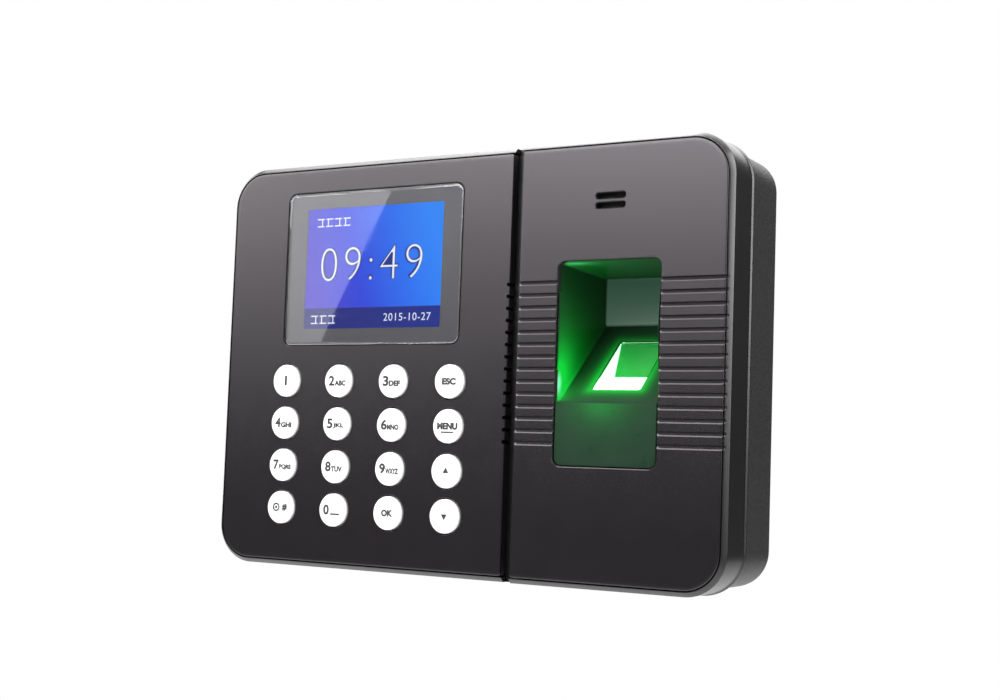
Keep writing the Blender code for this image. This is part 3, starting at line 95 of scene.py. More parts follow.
FACE = (keypad_low.x, scanner_high.x, scanner_low.z, scanner_high.z)
KEYPAD_Y = keypad_low.y
SCANNER_Y = scanner_low.y
FASCIA_BACK_Y = keypad_high.y
FLOOR_Y = FASCIA_BACK_Y + GAP
CHANNEL_LEFT = keypad_high.x
CHANNEL_RIGHT = scanner_low.x
CHANNEL_MIDDLE = (CHANNEL_LEFT + CHANNEL_RIGHT) / 2
RIM_OUT = housing_high.x - scanner_high.x
PARTING_Y = cover_low.y - GAP
LENS = reach("display_lens")
LENS_MIDDLE = ((LENS[0] + LENS[1]) / 2, (LENS[2] + LENS[3]) / 2)

# Front shell and fascias.
FACE_RADIUS = 10.2 * MM
RIM_TOP_OUT = 0.45 * MM
RIM_BASE_OUT = 1.65 * MM
HOLLOW_IN = 3.55 * MM
RIM_DROP = 0.15 * MM
CHAMFER_DEEP = 1.35 * MM
FLOOR_THICK = 2.0 * MM
WALL = 2.2 * MM
PLATE_EDGE = 0.4 * MM
CHANNEL_CORNER = 0.8 * MM
STRIP_WIDTH = 1.0 * MM
STRIP_HIGH = 0.7 * MM

# Ribbed band.
RIB_COUNT = 14
RIB_PITCH = 3.42 * MM
GROOVE_HIGH = 1.0 * MM
GROOVE_DEEP = 0.6 * MM
GROOVE_SLOPE = 0.77 * MM
NOTCH_DEEP = 1.0 * MM
RIB_REACH = 0.85 * MM

# Keys.
INK_THICK = 0.02 * MM
KEY_RADIUS = 4.9 * MM
KEY_CLEARANCE = 0.4 * MM
KEY_FLANGE = 1.0 * MM
KEY_DOME = 0.12 * MM
KEY_EDGE = 0.22 * MM
HOLE_EASE = 0.18 * MM

# Display.
LENS_RADIUS = 2.5 * MM
LENS_SEAM = 0.3 * MM
LENS_LEDGE = 1.0 * MM
SIGHT_HALF_W = 27.5 * MM
SIGHT_HALF_H = 20.5 * MM
LIT_WIDTH = 48.96 * MM
LIT_HEIGHT = 36.72 * MM

# Scanner window, slots and well.
WELL_WALL = 1.5 * MM
WINDOW_RADIUS = 2.5 * MM
WELL_DRAFT = 0.8 * MM
CEILING_DROP = 1.3 * MM
PLATFORM_RISE = 13.1 * MM
PLATFORM_FALL = 11.0 * MM
PLATE_RECESS = 0.6 * MM
SLOT_LENGTH = 9.0 * MM
SLOT_HIGH = 1.8 * MM
SLOT_PITCH = 2.65 * MM
WINDOW = reach("finger_well", -WELL_WALL)
WINDOW_X = (WINDOW[0] + WINDOW[1]) / 2
WINDOW_Z = (WINDOW[2] + WINDOW[3]) / 2
WELL_BACK_Y = well_high.y - WELL_WALL
PLATE_Y = SCANNER_Y + PLATE_RECESS
PLATFORM_BACK_Z = WINDOW_Z + PLATFORM_RISE
PLATFORM_FRONT_Z = WINDOW_Z - PLATFORM_FALL

# Sensor glass, in the platform's own frame: u along X, v up the slope, w out of it.
PRISM_WIDTH = 15.2 * MM
PRISM_LENGTH = 23.6 * MM
PRISM_UP_SLOPE = 0.8 * MM
PRISM_APEX_V = 2.0 * MM
PRISM_X = (prism_low.x + prism_high.x) / 2
SLOPE = Vector((0, WELL_BACK_Y - PLATE_Y, PLATFORM_BACK_Z - PLATFORM_FRONT_Z)).normalized()
SLOPE_OUT = Vector((0, -SLOPE.z, SLOPE.y))
SLOPE_MIDDLE = Vector((PRISM_X, (WELL_BACK_Y + PLATE_Y) / 2, (PLATFORM_BACK_Z + PLATFORM_FRONT_Z) / 2))
PRISM_MIDDLE = SLOPE_MIDDLE - SLOPE * PRISM_UP_SLOPE

# Rear cover and bracket.
COVER_RADIUS = 10.2 * MM
COVER_EDGE = 1.6 * MM
CASE_SCREW_HEAD = 3.0 * MM


# --- node trees

class Wire:
    """A socket in a shader or geometry tree. Arithmetic on it adds Math nodes."""

    def __init__(self, graph, socket):
        self.graph = graph
        self.socket = socket

    def math(self, operation, *others):
        values = dict(enumerate((self, *others)))
        return self.graph.node("ShaderNodeMath", {"operation": operation}, values)

    def __add__(self, other):
        return self.math("ADD", other)

    def __sub__(self, other):
        return self.math("SUBTRACT", other)

    def __rsub__(self, other):
        return self.graph.node("ShaderNodeMath", {"operation": "SUBTRACT"}, {0: other, 1: self})

    def __mul__(self, other):
        return self.math("MULTIPLY", other)

    def __truediv__(self, other):
        return self.math("DIVIDE", other)

    def __rtruediv__(self, other):
        return self.graph.node("ShaderNodeMath", {"operation": "DIVIDE"}, {0: other, 1: self})

    __radd__ = __add__
    __rmul__ = __mul__

    def clamped(self):
        return self.graph.node("ShaderNodeClamp", inputs={"Value": self})

    def power(self, exponent):
        return self.math("POWER", exponent)


class Graph:
    """A shader or geometry node tree that nodes are added to."""

    def __init__(self, tree):
        self.tree = tree

    def node(self, kind, settings=None, inputs=None, output=0):
        """Adds a node: its settings first, then the values or links of its sockets."""
        made = self.tree.nodes.new(kind)
        for name, value in (settings or {}).items():
            if name == "stops":
                set_stops(made.color_ramp, value)
            else:
                setattr(made, name, value)
        for name, value in (inputs or {}).items():
            if isinstance(value, Wire):
                self.tree.links.new(value.socket, made.inputs[name])
            else:
                made.inputs[name].default_value = value
        return Wire(self, made.outputs[output]) if made.outputs else made

    def vector(self, **parts):
        return self.node("ShaderNodeCombineXYZ", inputs=parts)

    def parts(self, vector):
        """The X, Y and Z of a vector."""
        outputs = self.node("ShaderNodeSeparateXYZ", inputs={0: vector}).socket.node.outputs
        return [Wire(self, outputs[axis]) for axis in "XYZ"]

    def transformed(self, geometry, **sockets):
        return self.node("GeometryNodeTransform", inputs={"Geometry": geometry, **sockets})

    def copies(self, points, instance):
        return self.node("GeometryNodeInstanceOnPoints", inputs={"Points": points, "Instance": instance})

    def line(self, count, start, step):
        places = {"Count": count, "Start Location": start, "Offset": step}
        return self.node("GeometryNodeMeshLine", inputs=places)


def set_stops(ramp, stops):
    """Gives a colour ramp its stops, each (place, colour)."""
    for index, (place, colour) in enumerate(stops):
        element = ramp.elements[index] if index < 2 else ramp.elements.new(place)
        element.position = place
        element.color = (*colour, 1.0)


class Finish(Graph):
    """A material around one Principled shader. Constants are set on the shader's own sockets."""

    def __init__(self, name, **constants):
        self.material = bpy.data.materials.new(name)
        self.material.use_nodes = True
        super().__init__(self.material.node_tree)
        self.shader = self.tree.nodes["Principled BSDF"]
        for key, value in constants.items():
            self.shader.inputs[key.replace("_", " ")].default_value = value
        self.place = self.node("ShaderNodeTexCoord", output="Object")

    def feed(self, **links):
        for key, wire in links.items():
            self.tree.links.new(wire.socket, self.shader.inputs[key.replace("_", " ")])
        return self

    def skin(self, colour, rough, height=None, deep=0.0):
        """Feeds the shader its colour, roughness and any bumps, and gives the material."""
        bumps = {} if height is None else {"Normal": self.bump(height, deep)}
        return self.feed(Base_Color=colour, Roughness=rough, **bumps).material

    def noise(self, size, detail=2.0, place=None):
        """Noise from 0 to 1 whose lumps are about `size` across."""
        inputs = {"Vector": place or self.place, "Scale": 1 / size, "Detail": detail}
        return self.node("ShaderNodeTexNoise", inputs=inputs)

    def stretched(self, scale):
        return self.node("ShaderNodeMapping", inputs={"Vector": self.place, "Scale": scale})

    def axes(self):
        return self.parts(self.place)

    def blend(self, factor, first, second):
        """A colour that goes from the first to the second as the factor goes from 0 to 1."""
        colours = [value if isinstance(value, Wire) else (*value, 1.0) for value in (first, second)]
        return self.node(
            "ShaderNodeMix", {"data_type": "RGBA"}, {0: factor, 6: colours[0], 7: colours[1]}, output=2)

    def bump(self, height, deep, strength=1.0):
        inputs = {"Height": height, "Distance": deep, "Strength": strength}
        return self.node("ShaderNodeBump", inputs=inputs)


def between(wire, low, high):
    """0 below low, 1 above high, and straight in between."""
    return ((wire - low) * (1 / (high - low))).clamped()


# --- outlines and solids

def eased(profile, ease, steps=3):
    """A profile with its inner corners rounded off, starting `ease` from each corner."""
    points = [Vector(at) for at in profile]
    made = [points[0]]
    for before, corner, after in zip(points, points[1:], points[2:]):
        start = corner + (before - corner).normalized() * ease
        end = corner + (after - corner).normalized() * ease
        turns = [step / steps for step in range(steps + 1)]
        made += [start.lerp(corner, t).lerp(corner.lerp(end, t), t) for t in turns]
    return [*made, points[-1]]


def outline(box, radii, grow=0.0, steps=ARC_STEPS):
    """A rounded rectangle in X and Z, anticlockwise from its top right corner. Radii may be one or four."""
    left, right, bottom, top = box[0] - grow, box[1] + grow, box[2] - grow, box[3] + grow
    corners = radii if isinstance(radii, tuple) else (radii,) * 4
    points = []
    for quarter, (sx, sz) in enumerate(((1, 1), (-1, 1), (-1, -1), (1, -1))):
        radius = max(corners[quarter] + grow, 0.02 * MM)
        middle_x = right - radius if sx > 0 else left + radius
        middle_z = top - radius if sz > 0 else bottom + radius
        for step in range(steps + 1):
            angle = math.radians(90 * (quarter + step / steps))
            points.append((middle_x + radius * math.cos(angle), middle_z + radius * math.sin(angle)))
    return points


def circle(at, radius, steps=48):
    turns = [2 * math.pi * step / steps for step in range(steps)]
    return [(at[0] + radius * math.cos(t), at[1] + radius * math.sin(t)) for t in turns]


def around(middle, half_w, half_h):
    return (middle[0] - half_w, middle[0] + half_w, middle[1] - half_h, middle[1] + half_h)


def adder(shape):
    """Lets a function that adds a body to a bmesh take its sizes first."""
    return lambda *sizes: lambda bm: shape(bm, *sizes)


@adder
def bridge(bm, rings):
    """Faces between rings of points that follow each other, with a cap on each end."""
    made = [[bm.verts.new(at) for at in ring] for ring in rings]
    count = len(made[0])
    for first, second in zip(made, made[1:]):
        for here in range(count):
            ahead = (here + 1) % count
            bm.faces.new((first[here], first[ahead], second[ahead], second[here]))
    bm.faces.new(made[0])
    bm.faces.new(made[-1])


@adder
def stack(bm, sections):
    """Joins outlines in X and Z, each (y, points), into one closed body."""
    bridge([[(x, y, z) for x, z in points] for y, points in sections])(bm)


@adder
def grown_stack(bm, box, radii, profile, steps=ARC_STEPS):
    """A rounded rectangle whose size follows a profile of (y, grow)."""
    stack([(y, outline(box, radii, grow, steps)) for y, grow in profile])(bm)


@adder
def block(bm, x, y, z):
    corners = [(x[0], z[0]), (x[1], z[0]), (x[1], z[1]), (x[0], z[1])]
    stack([(level, corners) for level in y])(bm)


@adder
def disc(bm, at, radius, y, steps=48):
    stack([(level, circle(at, radius, steps)) for level in y])(bm)


@adder
def run(bm, profile, low, high):
    """A profile of (y, z) carried along X between two ends, which may be functions of y."""
    ends = [end if callable(end) else (lambda y, end=end: end) for end in (low, high)]
    bridge([[(end(y), y, z) for y, z in profile] for end in ends])(bm)


def added(name, data):
    """A new object in the scene."""
    made = bpy.data.objects.new(name, data)
    bpy.context.scene.collection.objects.link(made)
    return made


def meshed(name, bm):
    """The mesh of a bmesh, which is freed."""
    mesh = bpy.data.meshes.new(name)
    bm.to_mesh(mesh)
    bm.free()
    return mesh


def coated(made, material):
    made.data.materials.clear()
    made.data.materials.append(material)
    return made


def built(name, *adders):
    """An object from functions that each add a closed body."""
    bm = bmesh.new()
    for adder in adders:
        adder(bm)
    bmesh.ops.recalc_face_normals(bm, faces=bm.faces)
    return added(name, meshed(name, bm))


def settle(made):
    """Applies an object's modifiers to its mesh."""
    graph = bpy.context.evaluated_depsgraph_get()
    mesh = bpy.data.meshes.new_from_object(made.evaluated_get(graph))
    made.modifiers.clear()
    made.data = mesh
    mesh.name = made.name
    return made


def bevelled(made, width, segments):
    """Breaks an object's edges."""
    bevel = made.modifiers.new("edges", "BEVEL")
    bevel.width = width
    bevel.segments = segments
    bevel.limit_method = "ANGLE"
    bevel.angle_limit = math.radians(40)
    return settle(made)


def combine(target, operation, tool):
    modifier = target.modifiers.new("combine", "BOOLEAN")
    modifier.operation = operation
    modifier.solver = "EXACT"
    modifier.object = tool
    settle(target)
    bpy.data.objects.remove(tool, do_unlink=True)
    return target


def cut(target, *adders):
    return combine(target, "DIFFERENCE", built("cutter", *adders))


def join(target, *adders):
    return combine(target, "UNION", built("addition", *adders))


def shaded(made, material, angle=32):
    """Smooth shading with sharp edges past an angle, and the piece's material."""
    mesh = coated(made, material).data
    for face in mesh.polygons:
        face.material_index = 0
    mesh.shade_smooth()
    mesh.set_sharp_from_angle(angle=math.radians(angle))
    return made


def placed(made, body, slot, *replaced):
    """A finished piece rides on its body and stands for CAD nodes, which it hides. The slot is not used."""
    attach(made, body)
    if replaced:
        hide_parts(*replaced)
    return made


# --- geometry node trees

def new_tree(name, *sizes):
    """A tree that takes a geometry, named sizes and a material. Returns its graph and wires by name."""
    tree = bpy.data.node_groups.new(name, "GeometryNodeTree")
    kinds = {"Count": "NodeSocketInt", "Material": "NodeSocketMaterial"}
    tree.interface.new_socket("Geometry", in_out="INPUT", socket_type="NodeSocketGeometry")
    for label in (*sizes, "Material"):
        kind = kinds.get(label, "NodeSocketFloat")
        tree.interface.new_socket(label, in_out="INPUT", socket_type=kind)
    tree.interface.new_socket("Geometry", in_out="OUTPUT", socket_type="NodeSocketGeometry")
    graph = Graph(tree)
    start = tree.nodes.new("NodeGroupInput")
    return graph, {socket.name: Wire(graph, socket) for socket in start.outputs if socket.name}


def end_tree(graph, geometry, wires):
    """Realizes what the tree made, sets its material and sends it out."""
    real = graph.node("GeometryNodeRealizeInstances", inputs={"Geometry": geometry})
    dressed = graph.node("GeometryNodeSetMaterial", inputs={"Geometry": real, "Material": wires["Material"]})
    graph.node("NodeGroupOutput", inputs={"Geometry": dressed})
    return graph.tree


def run_tree(made, tree, values):
    """Runs a geometry tree on an object with its inputs set by name, and keeps the resulting mesh."""
    modifier = made.modifiers.new(tree.name, "NODES")
    modifier.node_group = tree
    for item in tree.interface.items_tree:
        if item.in_out == "INPUT" and item.name in values:
            modifier[item.identifier] = values[item.name]
    made.update_tag()
    bpy.context.view_layer.update()
    return settle(made)


def repeat_tree():
    """Copies the geometry up the Z axis, centred on it."""
    graph, wires = new_tree("repeat_up", "Count", "Pitch")
    start = (wires["Count"] - 1) * wires["Pitch"] * -0.5
    line = graph.line(wires["Count"], graph.vector(Z=start), graph.vector(Z=wires["Pitch"]))
    return end_tree(graph, graph.copies(line, wires["Geometry"]), wires)


def keycap_tree():
    """A round cap about the origin, facing -Y: a flat dome with a rolled edge, a skirt and a flange."""
    graph, wires = new_tree("keycap", "Radius", "Edge", "Dome", "Skirt", "Flange", "Flange Thick")
    disc = graph.node("GeometryNodeMeshCircle", {"fill_type": "NGON"}, {"Vertices": 64, "Radius": 1.0})

    def ring(geometry, top, radius, depth):
        """Draws the newest face out to a radius and depth."""
        grown = graph.node("GeometryNodeExtrudeMesh", {"mode": "FACES"}, {
            "Mesh": geometry, "Selection": top, "Offset Scale": 0.0, "Individual": False})
        newest = Wire(graph, grown.socket.node.outputs["Top"])
        x, y, _ = graph.parts(graph.node("GeometryNodeInputPosition"))
        ratio = radius / (x * x + y * y).math("SQRT")
        where = graph.vector(X=x * ratio, Y=y * ratio, Z=depth)
        moved = graph.node("GeometryNodeSetPosition", inputs={
            "Geometry": grown, "Selection": newest, "Position": where})
        return moved, newest

    radius, edge, dome = wires["Radius"], wires["Edge"], wires["Dome"]
    flange_top = wires["Skirt"] * -1.0
    wide = radius + wires["Flange"]
    x, y, _ = graph.parts(graph.node("GeometryNodeInputPosition"))
    first = graph.vector(X=x * wide, Y=y * wide, Z=flange_top - wires["Flange Thick"])
    shape = graph.node("GeometryNodeSetPosition", inputs={"Geometry": disc, "Position": first})
    top = graph.node("FunctionNodeInputBool", {"boolean": True})
    for reach in (wide, radius):
        shape, top = ring(shape, top, reach, flange_top)
    for turn in range(9):
        angle = math.radians(90 * turn / 8)
        depth = edge * math.sin(angle) - edge - dome
        shape, top = ring(shape, top, radius - edge * (1 - math.cos(angle)), depth)
    for share in (0.75, 0.55, 0.35, 0.15):
        shape, top = ring(shape, top, radius * share, dome * -(share ** 2))
    return end_tree(graph, shape, wires)


def screw_tree():
    """A pan head with a cross recess on every point, facing the wall."""
    graph, wires = new_tree("screws", "Head Radius", "Head High", "Recess Width")
    head, high = wires["Head Radius"], wires["Head High"]
    ball = graph.node("GeometryNodeMeshUVSphere", inputs={"Segments": 40, "Rings": 20, "Radius": 1.0})
    crown = graph.transformed(ball, Scale=graph.vector(X=head, Y=head, Z=high * 1.15))
    drum = graph.node(
        "GeometryNodeMeshCylinder", inputs={"Vertices": 40, "Radius": head * 0.97, "Depth": high})
    raised = graph.transformed(drum, Translation=graph.vector(Z=high * 0.5))
    shape = graph.node("GeometryNodeMeshBoolean", {"operation": "INTERSECT", "solver": "EXACT"})
    for part in (crown, raised):
        graph.tree.links.new(part.socket, shape.socket.node.inputs["Mesh 2"])
    recess = graph.node(
        "GeometryNodeMeshBoolean", {"operation": "DIFFERENCE", "solver": "EXACT"}, {"Mesh 1": shape})
    size = graph.vector(X=head * 1.25, Y=wires["Recess Width"], Z=high * 1.3)
    bar = graph.node("GeometryNodeMeshCube", inputs={"Size": size})
    for turn in (0, 90):
        arm = graph.transformed(
            bar, Translation=graph.vector(Z=high * 1.05), Rotation=(0, 0, math.radians(turn)))
        graph.tree.links.new(arm.socket, recess.socket.node.inputs["Mesh 2"])
    facing = graph.transformed(recess, Rotation=(math.radians(-90), 0, 0))
    return end_tree(graph, graph.copies(wires["Geometry"], facing), wires)


def mesh_cloth_tree():
    """A woven dust mesh: two layers of round threads across a rectangle in X and Z."""
    graph, wires = new_tree("dust_mesh", "Width", "High", "Pitch", "Thread")
    joined = graph.node("GeometryNodeJoinGeometry")
    for along, across, axis, tilt in (("Width", "High", "Z", 90), ("High", "Width", "X", 0)):
        thread = graph.node("GeometryNodeMeshCylinder", inputs={
            "Vertices": 6, "Radius": wires["Thread"], "Depth": wires[along]})
        laid = graph.transformed(thread, Rotation=(0, math.radians(tilt), 0))
        count = (wires[across] / wires["Pitch"]).math("FLOOR")
        start = graph.vector(**{axis: count * wires["Pitch"] * -0.5})
        line = graph.line(count + 1, start, graph.vector(**{axis: wires["Pitch"]}))
        graph.tree.links.new(graph.copies(line, laid).socket, joined.socket.node.inputs[0])
    return end_tree(graph, joined, wires)


# --- materials

def satin_grey(name, face_y):
    """Fascia plastic: dark warm grey with a fine grain, smoother low down, and painted shade making it darker
    in its grooves.
    """
    made = Finish(name, Specular_IOR_Level=0.5, Specular_Tint=(1.0, 0.925, 0.99, 1.0))
    _, y, z = made.axes()
    cloud = made.noise(35 * MM, 3)
    grain = made.noise(0.22 * MM, 3)
    colour = made.blend(cloud, (0.0040, 0.0036, 0.0040), (0.0058, 0.0051, 0.0057))
    speckle = made.blend(between(grain, 0.35, 0.65) * 0.4, colour, (0.0092, 0.0084, 0.0091))
    # Painted shade: the colour goes near black deep in the grooves, where shade falls.
    deep = between(y, face_y + 0.42 * MM, face_y + 0.55 * MM)
    groove_painted_shade = made.blend(deep, speckle, (0.0015, 0.0014, 0.0015))
    handled = 1 - between(z, -48 * MM, 8 * MM)
    rough = 0.272 + between(grain, 0.3, 0.7) * 0.05 + made.noise(9 * MM, 4) * 0.04
    rough = rough - handled * 0.085 + deep * 0.5
    return made.skin(groove_painted_shade, rough, grain, 0.012 * MM)


def black_plastic():
    """Front shell plastic: black, smoother than the fascias, with faint flow marks."""
    made = Finish("black_plastic", Specular_IOR_Level=0.46)
    marks = made.noise(1.0, 3, made.stretched((12, 12, 60)))
    grain = made.noise(0.3 * MM, 2)
    colour = made.blend(marks, (0.0026, 0.0026, 0.0027), (0.0044, 0.0043, 0.0044))
    rough = 0.27 + marks * 0.06 + between(grain, 0.3, 0.7) * 0.04
    return made.skin(colour, rough, grain, 0.006 * MM)


def dark_grey_plastic():
    """Rear cover plastic: dark grey with a coarser moulded texture."""
    made = Finish("dark_grey_plastic", Specular_IOR_Level=0.3)
    places = {"Vector": made.place, "Scale": 1 / (0.55 * MM)}
    cells = made.node("ShaderNodeTexVoronoi", {"feature": "SMOOTH_F1"}, places)
    cloud = made.noise(28 * MM, 4)
    colour = made.blend(cloud, (0.006, 0.006, 0.0061), (0.009, 0.0089, 0.009))
    worn = made.blend(between(cells, 0.15, 0.6) * 0.4, colour, (0.014, 0.0138, 0.014))
    rough = 0.40 + between(cells, 0.1, 0.7) * 0.12 + cloud * 0.05
    return made.skin(worn, rough, cells, 0.03 * MM)


def key_plastic():
    """White keycaps with a very slight yellowing and a soft satin skin."""
    made = Finish("white_key_plastic", Specular_IOR_Level=0.5, Subsurface_Weight=0.05, Subsurface_Scale=0.002)
    cloud = made.noise(7 * MM, 3)
    grain = made.noise(0.25 * MM, 2)
    colour = made.blend(cloud, (0.58, 0.578, 0.575), (0.63, 0.628, 0.625))
    rough = 0.30 + grain * 0.08
    return made.skin(colour, rough, grain, 0.004 * MM)


def ink(name, colour, rough=0.45):
    """A printed mark, a little uneven as screen print is."""
    made = Finish(name, Specular_IOR_Level=0.35)
    patch = made.noise(0.8 * MM, 3)
    lighter = tuple(min(1.0, value * 1.35 + 0.004) for value in colour)
    return made.skin(made.blend(patch, colour, lighter), patch * 0.1 + rough)


def lens_glass():
    """Clear window over the display, with a few faint wipe marks in its gloss."""
    made = Finish("tinted_window", Transmission_Weight=1.0, IOR=1.49)
    wipes = made.noise(1.0, 4, made.stretched((40, 40, 260)))
    colour = made.blend(wipes, (0.96, 0.96, 0.98), (0.99, 0.99, 1.0))
    return made.skin(colour, 0.012 + between(wipes, 0.5, 0.8) * 0.03)


def window_print():
    """Grey mask printed behind the display window, with painted light making it lighter towards its top."""
    made = Finish("window_print", Specular_IOR_Level=0.3)
    _, _, z = made.axes()
    cloud = made.noise(12 * MM, 2)
    # Painted light: the print is lighter towards the top of the window and darker low down.
    high = between(z, LENS[2], LENS[3])
    colour = made.blend(high, (0.062, 0.060, 0.066), (0.115, 0.111, 0.117))
    fine = made.blend(cloud * 0.3, colour, (0.09, 0.088, 0.094))
    return made.skin(fine, 0.5 + cloud * 0.08)


def screen_picture():
    """The lit picture: deep blue to azure, with a navy strip along its foot and a fine grid of cells."""
    made = Finish("display_glass", Emission_Strength=1.0, Specular_IOR_Level=0.1, Roughness=0.4)
    x, _, z = made.axes()
    left, bottom = LENS_MIDDLE[0] - LIT_WIDTH / 2, LENS_MIDDLE[1] - LIT_HEIGHT / 2
    across = between(x, left, left + LIT_WIDTH)
    up = between(z, bottom, bottom + LIT_HEIGHT)
    ramp = made.node("ShaderNodeValToRGB", {"stops": (
        (0.0, (0.085, 0.055, 0.62)), (0.38, (0.022, 0.060, 0.76)), (0.7, (0.014, 0.155, 0.92)),
        (1.0, (0.018, 0.25, 1.0)))}, {"Fac": across + (up - 0.5) * 0.22})
    strip = made.blend(across, (0.012, 0.018, 0.20), (0.008, 0.022, 0.26))
    picture = made.blend(between(up, 0.168, 0.172), strip, ramp)
    places = {"Vector": made.place, "Scale": 1 / (0.96 * MM)}
    grid = made.node("ShaderNodeTexWave", {"wave_profile": "SIN"}, places)
    lit = made.blend(grid * 0.06, picture, (0.0, 0.0, 0.02))
    dark = made.blend(across, (0.006, 0.006, 0.01), (0.004, 0.006, 0.012))
    return made.feed(Base_Color=dark, Emission_Color=lit).material


def screen_mark(name, low, high, strength):
    """A mark on the lit picture: its colour goes from low to high up the display."""
    made = Finish(name, Emission_Strength=strength, Specular_IOR_Level=0.0, Roughness=0.6)
    _, _, z = made.axes()
    up = between(z, LENS[2], LENS[3])
    return made.feed(Base_Color=made.blend(up, (0.01, 0.01, 0.01), (0.02, 0.02, 0.02)),
                     Emission_Color=made.blend(up, low, high)).material


def well_green():
    """Glossy dark green plastic of the finger well, with the green light from the sensor glass painted on as
    emission.
    """
    made = Finish("dark_green_plastic", Specular_IOR_Level=0.26, Emission_Strength=1.0)
    x, y, z = made.axes()
    grain = made.noise(0.25 * MM, 2)
    cloud = made.noise(6 * MM, 3)
    foot = PRISM_MIDDLE - SLOPE * PRISM_LENGTH / 2

    def halo(at, size, power, squash=(1.0, 1.0, 1.0)):
        """A painted pool of light: 1 at a point, falling away round it."""
        reach = 1.0
        for wire, middle, share in zip((x, y, z), at, squash):
            reach = (wire - middle) * (wire - middle) * (share / size ** 2) + reach
        return (1 / reach).power(power)

    up_slope = (y - PRISM_MIDDLE.y) * SLOPE.y + (z - PRISM_MIDDLE.z) * SLOPE.z
    out = (y - PRISM_MIDDLE.y) * SLOPE_OUT.y + (z - PRISM_MIDDLE.z) * SLOPE_OUT.z
    beside = ((x - PRISM_X).math("ABSOLUTE") - PRISM_WIDTH / 2).math("MAXIMUM", 0.0)
    beyond = (up_slope.math("ABSOLUTE") - PRISM_LENGTH / 2).math("MAXIMUM", 0.0)
    away = (beside * beside + beyond * beyond) * (1 / (1.9 * MM) ** 2)
    on_platform = 1 - between(out.math("ABSOLUTE"), 0.2 * MM, 0.4 * MM)
    low_down = 1 - between(up_slope, -6 * MM, 12 * MM) * 0.8
    # Painted light round the sensor glass on the platform, fading up the slope.
    rim = (1 / (away + 1)).power(1.5) * on_platform * low_down
    deep = between(y, SCANNER_Y, WELL_BACK_Y)
    front = 1 - between(y, PLATE_Y - 0.1 * MM, PLATE_Y + 0.2 * MM)
    inside = between(y, SCANNER_Y + 0.9 * MM, SCANNER_Y + 1.8 * MM)
    wall = 1 - between(x, WINDOW[0] + 0.9 * MM, WINDOW[0] + 1.6 * MM)
    roof = between(z + deep * CEILING_DROP, WINDOW[3] - 0.6 * MM, WINDOW[3] - 0.1 * MM)
    back = between(y, WELL_BACK_Y - 0.5 * MM, WELL_BACK_Y - 0.1 * MM) * inside
    # Painted green light from the sensor, given as emission: a pool on the left wall, a hot spot low at the
    # front left, a wash and a highlight on the roof.
    painted_wall_light = halo((WINDOW[0], foot.y - 2 * MM, foot.z + 3 * MM), 7.5 * MM, 1.9, (1, 0.55, 0.4)) * wall
    painted_hot_spot = halo((WINDOW[0], SCANNER_Y + 2 * MM, foot.z + 1.5 * MM), 2.8 * MM, 2.2, (1, 1, 0.5)) * 2.4
    painted_roof_light = (1 - between(x, WINDOW[0], WINDOW[1] + 12 * MM)) * (1 - deep * 0.75) * roof * 0.13
    roof_highlight_at = (WINDOW[0] + 3 * MM, SCANNER_Y + 5 * MM, WINDOW[3])
    painted_roof_highlight = halo(roof_highlight_at, 2.0 * MM, 1.5, (0.2, 1, 1)) * roof * 0.5
    glow = (painted_wall_light + rim * 0.75 + painted_roof_light + painted_roof_highlight + painted_hot_spot) * inside
    lit = made.blend(glow, (0.0, 0.0, 0.0), (0.0, 0.62, 0.035))
    painted_hot_colour = made.blend(between(painted_hot_spot * inside, 0.5, 2.0) + painted_roof_highlight * 0.4, lit, (0.25, 1.0, 0.55))
    # Painted light on the back wall, given as emission: lighter low down, darker towards the roof.
    high = between(z, PLATFORM_BACK_Z, WINDOW[3])
    back_wall_painted_light = made.blend(high, (0.064, 0.116, 0.086), (0.020, 0.056, 0.034))
    shown = made.blend(back * 0.85, painted_hot_colour, back_wall_painted_light)
    # Painted spill of green light on the front plate, given as emission.
    painted_plate_spill = halo((PRISM_X - 2 * MM, SCANNER_Y, PLATFORM_FRONT_Z), 6.5 * MM, 2.0, (0.45, 1, 1)) * front
    with_painted_spill = made.blend(painted_plate_spill * 0.75, shown, (0.0, 0.34, 0.03))
    colour = made.blend(cloud, (0.005, 0.018, 0.009), (0.008, 0.024, 0.012))
    rough = 0.26 + cloud * 0.08 + grain * 0.03 - front * 0.04
    return made.feed(Emission_Color=with_painted_spill).skin(colour, rough, grain, 0.006 * MM)


def sensor_light():
    """The facets under the sensor glass, with painted light as emission: white green at the foot and the left
    side, green behind.
    """
    made = Finish("sensor_light", Emission_Strength=3.0, Specular_IOR_Level=0.2, Roughness=0.3)
    _, y, z = made.axes()
    up = between(z, PRISM_MIDDLE.z - 11 * MM, PRISM_MIDDLE.z + 8 * MM)
    cloud = made.noise(5 * MM, 3)
    # Painted light: whiter low down, greener higher up.
    bright = made.blend(up, (0.55, 1.0, 0.62), (0.40, 1.0, 0.50))
    shade = made.blend(cloud * 0.25, bright, (0.30, 1.0, 0.42))
    base = made.blend(cloud, (0.05, 0.25, 0.08), (0.06, 0.3, 0.1))
    return made.feed(Base_Color=base, Emission_Color=shade).material


